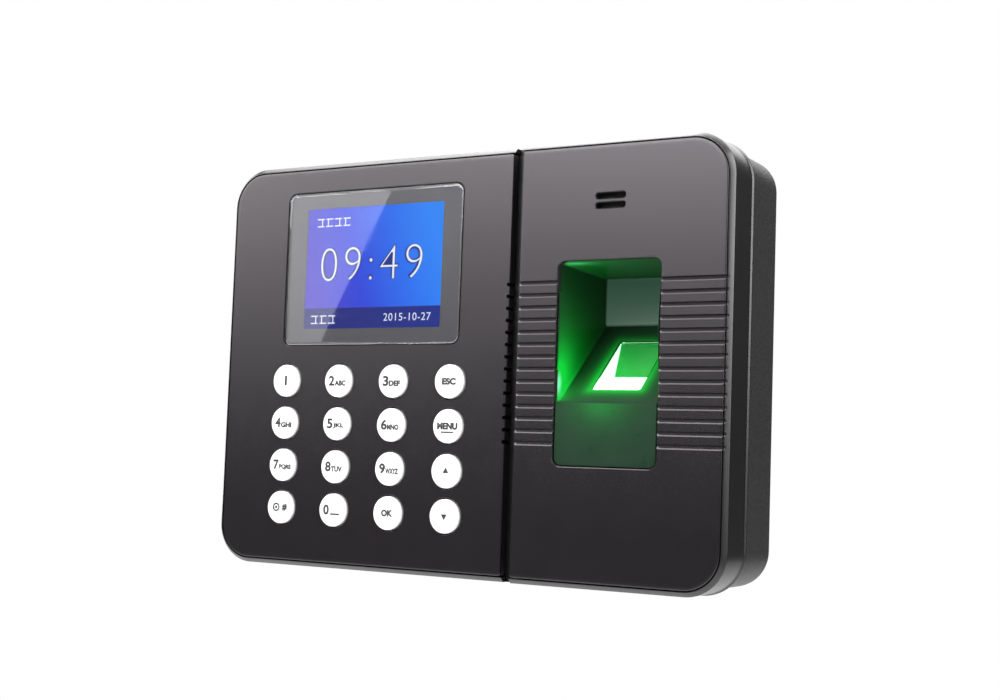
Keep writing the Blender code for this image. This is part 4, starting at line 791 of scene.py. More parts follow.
def sensor_back():
    """The far facet seen through the glass, with painted light as emission: bright green low down, deeper
    green towards its top edge.
    """
    made = Finish("sensor_back", Emission_Strength=1.0, Specular_IOR_Level=0.2, Roughness=0.35)
    _, _, z = made.axes()
    up = between(z, PRISM_MIDDLE.z - 6 * MM, PRISM_MIDDLE.z + 7 * MM)
    cloud = made.noise(4 * MM, 3)
    # Painted light: brighter green low down, deeper green higher up.
    green = made.blend(up, (0.0, 0.40, 0.015), (0.0, 0.12, 0.004))
    shade = made.blend(cloud * 0.25, green, (0.0, 0.26, 0.015))
    base = made.blend(cloud, (0.01, 0.12, 0.03), (0.01, 0.16, 0.04))
    return made.feed(Base_Color=base, Emission_Color=shade).material


def sensor_glass():
    made = Finish("sensor_glass", Transmission_Weight=1.0, IOR=1.45)
    film = made.noise(6 * MM, 3)
    return made.skin(made.blend(film, (0.92, 1.0, 0.94), (0.97, 1.0, 0.98)), 0.01 + film * 0.03)


def plated(name, colour, rough, scale):
    """Plated metal: fine brushing along X, with a faint mottle."""
    made = Finish(name, Metallic=1.0)
    brush = made.noise(1.0, 4, made.stretched(scale))
    cloud = made.noise(6 * MM, 4)
    darker = tuple(value * 0.78 for value in colour)
    shade = made.blend(cloud * 0.6 + brush * 0.3, colour, darker)
    return made.skin(shade, rough + brush * 0.12, brush, 0.004 * MM)


def board_green():
    made = Finish("green_board", Specular_IOR_Level=0.5, Coat_Weight=0.3)
    tracks = made.node("ShaderNodeTexBrick", inputs={
        "Vector": made.place, "Scale": 1 / (6 * MM), "Mortar Size": 0.03,
        "Color1": (0.012, 0.13, 0.045, 1), "Color2": (0.014, 0.145, 0.05, 1),
        "Mortar": (0.03, 0.21, 0.08, 1)})
    cloud = made.noise(9 * MM, 3)
    return made.skin(made.blend(cloud * 0.3, tracks, (0.01, 0.09, 0.03)), 0.32 + cloud * 0.15)


def simple_plastic(name, colour, rough, size, deep, **constants):
    """An inner piece's moulded or rubbery skin."""
    made = Finish(name, **constants)
    grain = made.noise(size, 3)
    lighter = tuple(min(1.0, value * 1.4 + 0.003) for value in colour)
    return made.skin(made.blend(grain, colour, lighter), rough + grain * 0.1, grain, deep)


# --- shells

def rim_profile(face_y):
    """Side band, chamfer and top land as (y, grow), from the parting line to the front."""
    return eased((
        (PARTING_Y, RIM_OUT - 0.5 * MM),
        (PARTING_Y, RIM_OUT),
        (PARTING_Y - 0.35 * MM, RIM_OUT),
        (PARTING_Y - 0.95 * MM, RIM_OUT - 0.44 * MM),
        (face_y + CHAMFER_DEEP, RIM_BASE_OUT),
        (face_y + RIM_DROP, RIM_TOP_OUT),
        (face_y + RIM_DROP, -1.0 * MM),
    ), 0.1 * MM)


def half_rim(face_y, side):
    """The front shell's block on one side of the channel."""
    made = built("front_shell", grown_stack(FACE, FACE_RADIUS, rim_profile(face_y), 20))
    over = 0.2 * MM
    beyond = (CHANNEL_MIDDLE + over, FAR) if side < 0 else (-FAR, CHANNEL_MIDDLE - over)
    return cut(made, block(beyond, (-FAR, FAR), (-FAR, FAR)))


def groove_profile(face_y, deep):
    """A rib groove's section: square above, with a long slope below."""
    half = GROOVE_HIGH / 2
    return [
        (face_y - MM, half),
        (face_y + deep, half - 0.06 * MM),
        (face_y + deep, -half + 0.42 * MM),
        (face_y, -half + 0.42 * MM - GROOVE_SLOPE),
        (face_y - MM, -half + 0.42 * MM - GROOVE_SLOPE * (1 + MM / deep)),
    ]


def groove_cutters(repeat, name, face_y, deep, x):
    """One groove cutter for each rib, from a single section repeated up the band."""
    made = built(name, run(groove_profile(face_y, deep), *x))
    return run_tree(made, repeat, {"Count": RIB_COUNT, "Pitch": RIB_PITCH})


def make_front_shell(material, repeat):
    shell = combine(half_rim(SCANNER_Y, 1), "UNION", half_rim(KEYPAD_Y, -1))
    cut(shell, grown_stack(FACE, FACE_RADIUS, ((-FAR, GAP), (FLOOR_Y, GAP)), 20))
    hollow = ((FLOOR_Y + FLOOR_THICK, -HOLLOW_IN), (FAR, -HOLLOW_IN))
    cut(shell, grown_stack(reach("front_housing"), FACE_RADIUS + HOLLOW_IN, hollow))
    through = (FLOOR_Y - MM, FLOOR_Y + FLOOR_THICK + MM)
    first, last = reach("key_power", MM), reach("key_esc", MM)
    openings = [(first[0], last[1], first[2], last[3])]
    openings += [reach(node, GAP) for node in ("lcd_frame", "finger_well", "speaker")]
    cut(shell, *[block(box[:2], through, box[2:]) for box in openings])
    channel = (CHANNEL_LEFT + GAP, CHANNEL_RIGHT - GAP)
    ends = ((FACE[3], FAR), (-FAR, FACE[2]))
    cut(shell, *[block(channel, (-FAR, FLOOR_Y), z) for z in ends])
    strip = eased(((FLOOR_Y + MM, STRIP_WIDTH / 2), (FLOOR_Y - STRIP_HIGH, STRIP_WIDTH / 2),
                   (FLOOR_Y - STRIP_HIGH, -STRIP_WIDTH / 2), (FLOOR_Y + MM, -STRIP_WIDTH / 2)), 0.2 * MM)
    join(shell, bridge([[(CHANNEL_MIDDLE + x, y, z) for y, x in strip] for z in FACE[2:]]))
    rim = (FACE[1] - MM, FACE[1] + RIB_REACH)
    combine(shell, "DIFFERENCE", groove_cutters(repeat, "rim_grooves", SCANNER_Y, GROOVE_DEEP, rim))
    return placed(shaded(shell, material), BODY, "black_plastic", "front_housing")


def face_plate(name, box, radii, face_y):
    profile = eased(((face_y, -1.2 * MM), (face_y, 0.0), (FASCIA_BACK_Y, 0.0)), PLATE_EDGE, 4)
    return built(name, grown_stack(box, radii, profile))


@adder
def eased_hole(bm, box, radii, face_y, back_y, ease=HOLE_EASE, steps=ARC_STEPS):
    """A cutter through a face whose mouth has a small chamfer."""
    grown_stack(box, radii, ((face_y - ease, 2 * ease), (face_y + ease, 0.0), (back_y, 0.0)), steps)(bm)


def middle_of(name):
    """A node's middle in X and Z."""
    low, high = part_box(name)
    return (low.x + high.x) / 2, (low.z + high.z) / 2


def make_keypad_plate(material, repeat, keys):
    box = (FACE[0], CHANNEL_LEFT, FACE[2], FACE[3])
    radii = (CHANNEL_CORNER, FACE_RADIUS, FACE_RADIUS, CHANNEL_CORNER)
    plate = face_plate("keypad_plate", box, radii, KEYPAD_Y)
    hole = KEY_RADIUS + KEY_CLEARANCE
    mouth = (KEYPAD_Y - HOLE_EASE, hole + 2 * HOLE_EASE)
    levels = (mouth, (KEYPAD_Y + HOLE_EASE, hole), (FLOOR_Y + MM, hole))
    cut(plate, *[
        stack([(y, circle(middle_of(name), radius)) for y, radius in levels]) for name in keys
    ])
    pocket = reach("display_lens", LENS_SEAM)
    ledge = lens_high.y + LENS_LEDGE
    cut(plate, eased_hole(pocket, LENS_RADIUS + LENS_SEAM, KEYPAD_Y, ledge))
    sight = around(LENS_MIDDLE, SIGHT_HALF_W, SIGHT_HALF_H)
    cut(plate, grown_stack(sight, MM, ((-FAR, 0.0), (FAR, 0.0))))
    notch = (CHANNEL_LEFT - NOTCH_DEEP, CHANNEL_LEFT + MM)
    notches = built("notches", block(notch, (-FAR, FAR), (-GROOVE_HIGH / 2, GROOVE_HIGH / 2)))
    combine(plate, "DIFFERENCE", run_tree(notches, repeat, {"Count": RIB_COUNT, "Pitch": RIB_PITCH}))
    return placed(shaded(plate, material), BODY, "satin_grey_plastic", "keypad_fascia")


def slot_places():
    x, z = middle_of("speaker")
    return [(x, z + side * SLOT_PITCH / 2) for side in (1, -1)]


def make_scanner_plate(material, repeat):
    box = (CHANNEL_RIGHT, FACE[1], FACE[2], FACE[3])
    radii = (FACE_RADIUS, CHANNEL_CORNER, CHANNEL_CORNER, FACE_RADIUS)
    plate = face_plate("scanner_plate", box, radii, SCANNER_Y)
    inner = 2.0 * MM
    thick = 2.2 * MM
    cut(plate, grown_stack(box, radii, ((SCANNER_Y + thick, -inner), (FAR, -inner))))
    cut(plate, eased_hole(WINDOW, WINDOW_RADIUS, SCANNER_Y, FAR, 0.24 * MM))
    cut(plate, *[
        eased_hole(
            around(at, SLOT_LENGTH / 2, SLOT_HIGH / 2), SLOT_HIGH / 2.02, SCANNER_Y, FAR, 0.22 * MM, 10)
        for at in slot_places()
    ])
    across = (CHANNEL_RIGHT - MM, FACE[1] + MM)
    combine(plate, "DIFFERENCE", groove_cutters(repeat, "face_grooves", SCANNER_Y, GROOVE_DEEP, across))
    return placed(shaded(plate, material), BODY, "satin_grey_plastic", "scanner_fascia")


def make_dust_mesh(material, tree):
    """The woven mesh behind the speaker slots."""
    middle = middle_of("speaker")
    cloth = built("speaker_dust_mesh", lambda bm: bm.verts.new((0, 0, 0)))
    run_tree(cloth, tree, {
        "Width": SLOT_LENGTH + 3 * MM, "High": SLOT_PITCH + SLOT_HIGH + 3 * MM, "Pitch": 0.42 * MM,
        "Thread": 0.07 * MM, "Material": material})
    cloth.data.transform(Matrix.Translation((middle[0], SCANNER_Y + 2.35 * MM, middle[1])))
    return placed(shaded(cloth, material), BODY, "black_foam")


# --- rear cover

@adder
def upright_tube(bm, at, radius, z, steps=32):
    """A tube along Z at (x, y)."""
    bridge([[(x, y, level) for x, y in circle(at, radius, steps)] for level in z])(bm)


@adder
def socket_hole(bm, node):
    """The opening in the cover's left side round a socket."""
    low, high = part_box(node)
    block((-FAR, cover_low.x + WALL + MM), (low.y - GAP, high.y + GAP), reach(node, GAP)[2:])(bm)


def case_screws():
    return [f"case_screw_{number}" for number in range(1, 5)]


def make_rear_shell(material):
    box = reach("rear_cover")
    back = cover_high.y
    profile = eased(((cover_low.y, -0.4 * MM), (cover_low.y, 0.0), (back, 0.0), (back, -4 * MM)), 0.2 * MM)
    soft = eased(((cover_low.y, 0.0), (back, 0.0), (back, -4 * MM)), COVER_EDGE, 6)
    shell = built("rear_shell", grown_stack(box, COVER_RADIUS, [profile[0], *soft]))
    inside_y = back - WALL
    cut(shell, grown_stack(box, COVER_RADIUS, ((-FAR, -WALL), (inside_y, -WALL))))
    recess = reach("wall_bracket", GAP)
    recess_y = bracket_high.y - 2.3 * MM
    wall_y = recess_y - WALL
    join(shell, grown_stack(recess, WALL, ((wall_y, WALL), (inside_y + MM, WALL)), 4))
    screws = [middle_of(name) for name in case_screws()]
    join(shell, *[
        disc(at, 4.3 * MM, (cover_low.y, inside_y + MM))
        for at in screws
    ])
    lock_low, lock_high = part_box("bracket_screw")
    lock_at = ((lock_low.x + lock_high.x) / 2, (lock_low.y + lock_high.y) / 2)
    boss_y = (lock_at[1] - 4.5 * MM, wall_y + MM)
    join(shell, block((-6 * MM, 6 * MM), boss_y, (box[2] + MM, box[2] + 5.5 * MM)))
    cut(shell, eased_hole_back(recess, 3 * MM, recess_y, back))
    seat_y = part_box("case_screw_1")[1].y - 2.7 * MM
    cut(shell, *[
        stack([
            (y, circle(at, radius)) for y, radius in (
                (seat_y, CASE_SCREW_HEAD + GAP), (back - 0.3 * MM, CASE_SCREW_HEAD + GAP),
                (back + 0.3 * MM, CASE_SCREW_HEAD + 3 * GAP))
        ])
        for at in screws
    ])
    hook = 20.0 * MM
    slot = 4.3 * MM
    hook_z = (26.0 * MM, 35.3 * MM)
    lug = (-50.3 * MM, -47.7 * MM)
    cut(
        shell,
        block((-7.3 * MM, 7.3 * MM), (wall_y - MM, FAR), lug),
        *[block((s * hook - slot, s * hook + slot), (wall_y - MM, FAR), hook_z)
          for s in (1, -1)],
    )
    cut(
        shell,
        upright_tube(lock_at, 1.8 * MM, (box[2] - MM, box[2] + 7 * MM)),
        socket_hole("usb_port"),
        socket_hole("dc_jack"),
    )
    cut(shell, upright_tube(lock_at, CASE_SCREW_HEAD + GAP, (box[2] - MM, box[2] + 2.6 * MM)))
    return placed(shaded(shell, material), BODY, "dark_grey_plastic", "rear_cover")


@adder
def eased_hole_back(bm, box, radii, floor_y, back_y):
    """A recess cutter from the back, with a small chamfer at its mouth."""
    ease = 0.25 * MM
    grown_stack(box, radii, ((floor_y, 0.0), (back_y - ease, 0.0), (back_y + ease, 2 * ease)), 8)(bm)


# --- display

def make_display(glass, mask, picture, marks, dark_marks):
    lens = built("display_window", grown_stack(LENS, LENS_RADIUS, eased((
        (lens_low.y, -MM), (lens_low.y, 0.0), (lens_high.y, 0.0), (lens_high.y, -MM)), 0.22 * MM, 4)))
    placed(shaded(lens, glass), BODY, "tinted_window", "display_lens")

    lit = around(LENS_MIDDLE, LIT_WIDTH / 2, LIT_HEIGHT / 2)
    mask_y = (lens_high.y + 0.05 * MM, lens_high.y + 0.15 * MM)
    border = built("window_mask", grown_stack(LENS, LENS_RADIUS, [(y, -0.15 * MM) for y in mask_y]))
    cut(border, grown_stack(lit, 0.3 * MM, ((-FAR, 0.1 * MM), (FAR, 0.1 * MM)), 4))
    placed(shaded(border, mask), BODY, "black_plastic", "display_gasket")

    front_y = mask_y[1] + 0.1 * MM
    box = reach("lcd_panel")
    sight = around(LENS_MIDDLE, SIGHT_HALF_W - 0.2 * MM, SIGHT_HALF_H - 0.2 * MM)
    panel = built("lcd_picture", grown_stack(sight, 0.5 * MM, ((front_y, 0.0), (FASCIA_BACK_Y, 0.0)), 3))
    join(panel, grown_stack(box, 0.5 * MM, ((panel_low.y, 0.0), (panel_high.y, 0.0)), 3))
    placed(shaded(panel, picture), BODY, "display_glass", "lcd_panel")
    make_screen_marks(front_y, lit, marks, dark_marks)


def letters(name, text, width, height, material, grow=0.0, spacing=1.0):
    """Flat lettering in X and Z facing -Y, centred on its width and fitted to a width and height."""
    curve = bpy.data.curves.new(name, "FONT")
    curve.body = text
    curve.size = height
    curve.offset = grow
    curve.space_character = spacing
    curve.resolution_u = 6
    made = added(name, curve)
    graph = bpy.context.evaluated_depsgraph_get()
    mesh = bpy.data.meshes.new_from_object(made.evaluated_get(graph))
    bpy.data.objects.remove(made, do_unlink=True)
    spans = [[vertex.co[axis] for vertex in mesh.vertices] for axis in (0, 1)]
    left, right, low, high = min(spans[0]), max(spans[0]), min(spans[1]), max(spans[1])
    mesh.transform(Matrix.Translation((-(left + right) / 2, -low, 0)))
    mesh.transform(Matrix.Diagonal((width / (right - left), height / (high - low), 1.0, 1.0)))
    mesh.transform(Matrix.Rotation(math.radians(90), 4, "X"))
    return coated(added(name, mesh), material)


def shift(made, x, y, z):
    made.data.transform(Matrix.Translation((x, y, z)))
    return made


def merged(name, pieces):
    """Several meshes as one, with their materials kept."""
    bm = bmesh.new()
    materials = []
    for piece in pieces:
        for material in piece.data.materials:
            if material not in materials:
                materials.append(material)
        before = len(bm.faces)
        bm.from_mesh(piece.data)
        bm.faces.ensure_lookup_table()
        for face in bm.faces[before:]:
            face.material_index = materials.index(piece.data.materials[0])
        bpy.data.objects.remove(piece, do_unlink=True)
    made = added(name, meshed(name, bm))
    for material in materials:
        made.data.materials.append(material)
    return made


def bars(name, places, material):
    """Thin flat bars, each (x, z, half width, half height, y)."""
    return coated(built(name, *[
        block((x - w, x + w), (y, y + INK_THICK), (z - h, z + h))
        for x, z, w, h, y in places
    ]), material)


def make_screen_marks(front_y, lit, white, dark):
    """The picture's generic marks: a clock, a date, and two short rows of bars for labels."""
    left, right, bottom, top = lit
    wide, high = right - left, top - bottom
    clock = (left + 0.485 * wide, bottom + 0.395 * high)
    size = (0.75 * wide, 0.275 * high)
    y = front_y - 0.05 * MM
    shapes = []
    for material, grow, at_y in ((dark, 0.02 * MM, y + 0.03 * MM), (white, -0.26 * MM, y)):
        spare = grow + 0.26 * MM
        text = letters("clock", "09:49", size[0] + spare, size[1] + spare, material, grow, 1.16)
        shapes.append(shift(text, clock[0], at_y, clock[1] - spare / 2))
    date = letters("date", "2015-10-27", 0.34 * wide, 0.062 * high, white, 0.0, 1.1)
    shapes.append(shift(date, left + 0.765 * wide, y, bottom + 0.055 * high))
    labels = []
    for start_x, mid_z, count in ((0.06, 0.885, 4), (0.04, 0.075, 3)):
        for index in range(count):
            x = left + (start_x + 0.035 + index * 0.066) * wide
            z = bottom + mid_z * high
            half = 0.026 * wide
            labels += [
                (x, z + 0.030 * high, half, 0.18 * MM, y),
                (x, z - 0.030 * high, half, 0.18 * MM, y),
                (x - half * 0.4 * (1 if index % 2 else -1), z, 0.18 * MM, 0.030 * high, y),
            ]
    shapes.append(bars("labels", labels, white))
    return placed(merged("screen_marks", shapes), BODY, "display_glass")


# --- keys

LEGENDS = {
    "key_1": ("1", ""), "key_2": ("2", "ABC"), "key_3": ("3", "DEF"), "key_esc": ("", "ESC"),
    "key_4": ("4", "GHI"), "key_5": ("5", "JKL"), "key_6": ("6", "MNO"), "key_menu": ("", "MENU"),
    "key_7": ("7", "PQRS"), "key_8": ("8", "TUV"), "key_9": ("9", "WXYZ"), "key_up": ("up", ""),
    "key_power": ("power", "#"), "key_0": ("0", "_"), "key_ok": ("", "OK"), "key_down": ("down", ""),
}

WORD_WIDTHS = {"ESC": 4.7, "MENU": 6.8, "OK": 4.0}


def arrow(name, way, size, material):
    turns = [math.radians(angle) for angle in (90, 210, 330)]
    points = [(size * math.cos(turn), size * math.sin(turn)) for turn in turns]
    made = built(name, stack([(y, [(x, z * way) for x, z in points]) for y in (0.0, INK_THICK)]))
    return coated(made, material)


def power_mark(name, material):
    """A ring with a dot in it."""
    made = built(name, disc((0, 0), 1.3 * MM, (0.0, INK_THICK), 32))
    cut(made, disc((0, 0), 0.82 * MM, (-MM, MM), 32))
    dot = built("dot", disc((0, 0), 0.42 * MM, (0.0, INK_THICK), 20))
    return merged(name, [coated(piece, material) for piece in (made, dot)])


def legend_shapes(first, second, material):
    """The marks of one key about its middle."""
    if first in ("up", "down"):
        return [arrow("mark", 1 if first == "up" else -1, 1.15 * MM, material)]
    if first == "power":
        grid = letters("mark", second, 1.75 * MM, 2.1 * MM, material, 0.12 * MM)
        return [shift(power_mark("mark", material), -1.5 * MM, 0, 0), shift(grid, 1.65 * MM, 0, -1.05 * MM)]
    base = -1.45 * MM
    if not first:
        word = letters("mark", second, WORD_WIDTHS[second] * MM, 2.0 * MM, material, 0.12 * MM)
        made = [shift(word, 0, 0, -1.0 * MM)]
        if second == "MENU":
            made.append(bars("mark", [(0.0, -1.75 * MM, 2.1 * MM, 0.2 * MM, 0.0)], material))
        return made
    digit_width = 0.8 * MM if first == "1" else 2.05 * MM
    digit = letters("mark", first, digit_width, 3.0 * MM, material, 0.02 * MM if first == "1" else 0.1 * MM)
    if not second:
        return [shift(digit, 0, 0, base)]
    made = [shift(digit, -2.3 * MM, 0, base)]
    if second == "_":
        made.append(bars("mark", [(0.9 * MM, base + 0.25 * MM, 1.6 * MM, 0.25 * MM, 0.0)], material))
    else:
        width = (4.0 if len(second) == 3 else 4.5) * MM
        small = letters("mark", second, width, 1.65 * MM, material, 0.09 * MM)
        made.append(shift(small, -1.15 * MM + width / 2, 0, base))
    return made


def make_keys(cap_material, ink_material, tree):
    """Each key's cap with its printed mark, riding on the key's own body."""
    for name, (first, second) in LEGENDS.items():
        low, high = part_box(name)
        x, z = middle_of(name)
        cap = built(f"{name}_cap", lambda bm: bm.verts.new((0, 0, 0)))
        depth = high.y - low.y
        flange_thick = 0.8 * MM
        run_tree(cap, tree, {
            "Radius": KEY_RADIUS, "Edge": KEY_EDGE, "Dome": KEY_DOME, "Skirt": depth - flange_thick,
            "Flange": KEY_FLANGE, "Flange Thick": flange_thick, "Material": cap_material})
        cap.data.transform(Matrix.Translation((x, low.y, z)) @ Matrix.Rotation(math.radians(90), 4, "X"))
        placed(shaded(cap, cap_material, 40), name, "white_key_plastic", name)
        marks = merged(f"{name}_mark", legend_shapes(first, second, ink_material))
        placed(shift(marks, x, low.y - 0.015 * MM, z), name, "white_key_plastic")


# --- finger well

def slope_z(y):
    return PLATFORM_BACK_Z + (y - WELL_BACK_Y) * SLOPE.z / SLOPE.y


def well_side(y):
    """The pocket's half width, which narrows a little towards its back."""
    share = max(0.0, min(1.0, (y - SCANNER_Y) / (WELL_BACK_Y - SCANNER_Y)))
    return (WINDOW[1] - WINDOW[0]) / 2 - WELL_DRAFT * share


def on_slope(u, v, w):
    return PRISM_MIDDLE + Vector((u, 0, 0)) + SLOPE * v + SLOPE_OUT * w


def make_well(material):
    left, right, bottom, top = WINDOW
    back = well_high.y
    heel = PLATE_Y + 2 * WELL_WALL
    front = well_low.y if well_low.y > SCANNER_Y + MM else SCANNER_Y + 2.5 * MM
    thick = 1.6 * MM / SLOPE.y
    ceiling = top - CEILING_DROP
    outer = [
        (front, top + WELL_WALL), (back, ceiling + WELL_WALL), (back, slope_z(back) - thick),
        (heel, slope_z(heel) - thick), (heel, bottom - WELL_WALL), (front, bottom - WELL_WALL),
    ]
    well = built("finger_pocket", run(outer, left - WELL_WALL, right + WELL_WALL))
    plug = eased(((PLATE_Y, -MM), (PLATE_Y, -GAP), (front + MM, -GAP)), 0.3 * MM, 4)
    join(well, grown_stack(WINDOW, WINDOW_RADIUS, plug))
    hollow = [
        (-FAR, top), (SCANNER_Y - 0.01 * MM, top), (WELL_BACK_Y, ceiling), (WELL_BACK_Y, PLATFORM_BACK_Z),
        (PLATE_Y, PLATFORM_FRONT_Z), (-FAR, PLATFORM_FRONT_Z),
    ]
    sides = (lambda y: WINDOW_X - well_side(y), lambda y: WINDOW_X + well_side(y))
    cutter = built("pocket", run(hollow, *sides))
    combine(well, "DIFFERENCE", bevelled(cutter, 0.9 * MM, 4))
    half_w, half_l = PRISM_WIDTH / 2, PRISM_LENGTH / 2
    corners = outline((-half_w, half_w, -half_l, half_l), 0.9 * MM, 0.0, 5)
    cut(well, bridge([[on_slope(u, v, w) for u, v in corners] for w in (2 * MM, -6 * MM)]))
    return placed(shaded(well, material), BODY, "dark_green_plastic", "finger_well")


def facet(name, corners, material):
    """One thin lit plate between four or three points, given anticlockwise as seen."""
    normal = (corners[1] - corners[0]).cross(corners[2] - corners[0]).normalized()
    levels = (0.0, -0.15 * MM)
    made = built(name, bridge([[at + normal * level for at in corners] for level in levels]))
    return coated(made, material)


def make_sensor(glass, light, back):
    """A thin cover glass over the pit of the prism, whose facets carry painted light, as if lit from below.
    """
    half_w, half_l = PRISM_WIDTH / 2 - GAP, PRISM_LENGTH / 2 - GAP
    corners = outline((-half_w, half_w, -half_l, half_l), 0.7 * MM, 0.0, 5)
    cover = built("sensor_cover_glass", bridge([
        [on_slope(u * share, v * share, w) for u, v in corners]
        for w, share in ((-GAP - 0.8 * MM, 1.0), (-GAP - 0.15 * MM, 1.0), (-GAP, 0.985))
    ]))
    placed(shaded(cover, glass), BODY, "sensor_glass", "prism_glass")
    top = -1.3 * MM
    deep = -6.2 * MM
    keel_v = PRISM_APEX_V
    keel = (-half_w + 0.1 * MM, half_w - 0.8 * MM)
    low_left, low_right = on_slope(-half_w, -half_l, top), on_slope(half_w, -half_l, top)
    high_left, high_right = on_slope(-half_w, half_l, top), on_slope(half_w, half_l, top)
    keel_left, keel_right = on_slope(keel[0], keel_v, deep), on_slope(keel[1], keel_v, deep)
    lit = [
        facet("foot", (low_left, low_right, keel_right, keel_left), light),
        facet("left", (high_left, low_left, keel_left), light),
        facet("right", (low_right, high_right, keel_right), back),
        facet("behind", (high_right, high_left, keel_left, keel_right), back),
    ]
    placed(merged("sensor_prism", lit), BODY, "sensor_glass")


# --- small pieces

def refined(node, name, material, slot, width):
    """A CAD piece with its edges broken."""
    mesh = nodes[node].data.copy()
    bm = bmesh.new()
    bm.from_mesh(mesh)
    bmesh.ops.remove_doubles(bm, verts=bm.verts, dist=0.001 * MM)
    bmesh.ops.dissolve_limit(bm, angle_limit=math.radians(1), verts=bm.verts, edges=bm.edges)
    bm.to_mesh(mesh)
    bm.free()
    made = bevelled(added(name, mesh), width, 2)
    weights = shaded(made, material).modifiers.new("weights", "WEIGHTED_NORMAL")
    weights.keep_sharp = True
    return placed(settle(made), nodes[node]["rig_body"], slot, node)


def make_case_screws(material, tree):
    """Pan heads in the cover's counterbores. The shanks stay hidden inside."""
    low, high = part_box("case_screw_1")
    head_high = 2.4 * MM
    points = [middle_of(name) for name in case_screws()]
    places = [(x, high.y - head_high, z) for x, z in points]
    heads = built("case_screw_heads", lambda bm: [bm.verts.new(at) for at in places])
    run_tree(heads, tree, {
        "Head Radius": CASE_SCREW_HEAD, "Head High": head_high, "Recess Width": 0.75 * MM,
        "Material": material})
    return placed(shaded(heads, material), BODY, "zinc_steel", *case_screws())


def make_usb_tongue(plastic, contacts):
    """The insulating tongue in the USB mouth, with its four contacts."""
    low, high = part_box("usb_port")
    mid_y = (low.y + high.y) / 2
    mid_z = (low.z + high.z) / 2

    def bar(x, y, z, half):
        """A bar inward from the mouth, with X and Y in millimetres."""
        spans = [(start + span[0] * MM, start + span[1] * MM) for start, span in ((low.x, x), (mid_y, y))]
        return block(*spans, (z - half, z + half))

    tongue = built("usb_tongue", bar((0.6, 9), (0.2, 2.0), mid_z, 5 * MM))
    placed(shaded(tongue, plastic), BODY, "black_plastic")
    pins = built("usb_contacts", *[
        bar((1.0, 8), (0.1, 0.3), mid_z + offset * MM, 0.5 * MM) for offset in (-3.5, -1.0, 1.0, 3.5)])
    placed(shaded(pins, contacts), BODY, "bright_metal")


# --- inner pieces

def dress_inner_nodes(black, steel, nickel):
    """Gives the inner pieces that keep their own shape their finishes."""
    board = board_green()
    silicone = simple_plastic(
        "grey_silicone", (0.30, 0.30, 0.32), 0.55, 0.5 * MM, 0.01 * MM, Sheen_Weight=0.2)
    foam = simple_plastic("black_foam", (0.012, 0.012, 0.012), 0.85, 0.3 * MM, 0.06 * MM)
    chip = simple_plastic("chip_resin", (0.018, 0.018, 0.02), 0.5, 0.2 * MM, 0.01 * MM)
    ribbon = simple_plastic("ribbon_film", (0.45, 0.25, 0.07), 0.3, 1.2 * MM, 0.004 * MM)
    sheath = simple_plastic("cable_sheath", (0.02, 0.02, 0.02), 0.45, 0.6 * MM, 0.008 * MM)
    finishes = {
        board: ("key_board", "sensor_board", "main_board"),
        silicone: ("keypad_mat",),
        foam: ("display_gasket", "speaker_gasket"),
        chip: ("processor_chip", "sensor_camera"),
        ribbon: ("lcd_ribbon",),
        sheath: ("speaker_lead", "sensor_cable"),
        black: ("lcd_frame", "sensor_housing", "speaker", "coin_cell_holder", "dc_jack"),
        nickel: ("coin_cell", "capacitor", "usb_port"),
        steel: ("wall_bracket", "bracket_screw", *case_screws(), *[f"board_screw_{n}" for n in range(1, 5)]),
    }
    for material, names in finishes.items():
        for name in names:
            coated(nodes[name], material)


# --- floor, light and camera

def make_floor():
    """A plain pale disc well below the terminal, which hangs on a wall in use."""
    bm = bmesh.new()
    bmesh.ops.create_circle(bm, cap_ends=True, segments=96, radius=3.0)
    floor = shift(added("floor", meshed("floor", bm)), 0, 0, -0.62)
    pale = Finish("pale_floor", Roughness=0.9, Emission_Strength=0.45, Specular_IOR_Level=0.1)
    cloud = pale.noise(0.8, 2)
    tint = pale.blend(cloud, (0.80, 0.80, 0.80), (0.84, 0.84, 0.84))
    floor.data.materials.append(pale.feed(Base_Color=tint, Emission_Color=tint).material)


def make_sky():
    """White behind the object, and a dimmer dome that lights it."""
    world = bpy.data.worlds.new("studio")
    bpy.context.scene.world = world
    world.use_nodes = True
    graph = Graph(world.node_tree)
    shader = world.node_tree.nodes["Background"]
    seen = graph.node("ShaderNodeLightPath", output="Is Camera Ray")
    _, _, high = graph.parts(graph.node("ShaderNodeTexCoord", output="Generated"))
    dome = graph.node("ShaderNodeValToRGB", {"stops": (
        (0.0, (0.05, 0.05, 0.05)), (0.5, (0.05, 0.05, 0.05)), (0.75, (0.22, 0.22, 0.225)),
        (1.0, (0.60, 0.60, 0.61)))}, {"Fac": high * 0.5 + 0.5})
    colour = graph.node("ShaderNodeMix", {"data_type": "RGBA"}, {0: seen, 6: dome, 7: (1, 1, 1, 1)}, output=2)
    graph.tree.links.new(colour.socket, shader.inputs["Color"])


def softbox(name, centre, aim, width, height, radiance, up=(0, 0, 1)):
    """A rectangular area light at a point, aimed at another, with a direction for its height."""
    light = bpy.data.lights.new(name, "AREA")
    light.shape = "RECTANGLE"
    light.size = width
    light.size_y = height
    light.energy = radiance * math.pi * width * height
    back = (Vector(centre) - Vector(aim)).normalized()
    right = Vector(up).cross(back).normalized()
    turned = Matrix((right, back.cross(right), back)).transposed().to_4x4()
    added(name, light).matrix_world = Matrix.Translation(centre) @ turned


def glow_lamp(name, at, radius, power):
    light = bpy.data.lights.new(name, "POINT")
    light.energy = power
    light.shadow_soft_size = radius
    light.color = (0.0, 1.0, 0.07)
    made = added(name, light)
    made.visible_glossy = False
    made.location = at


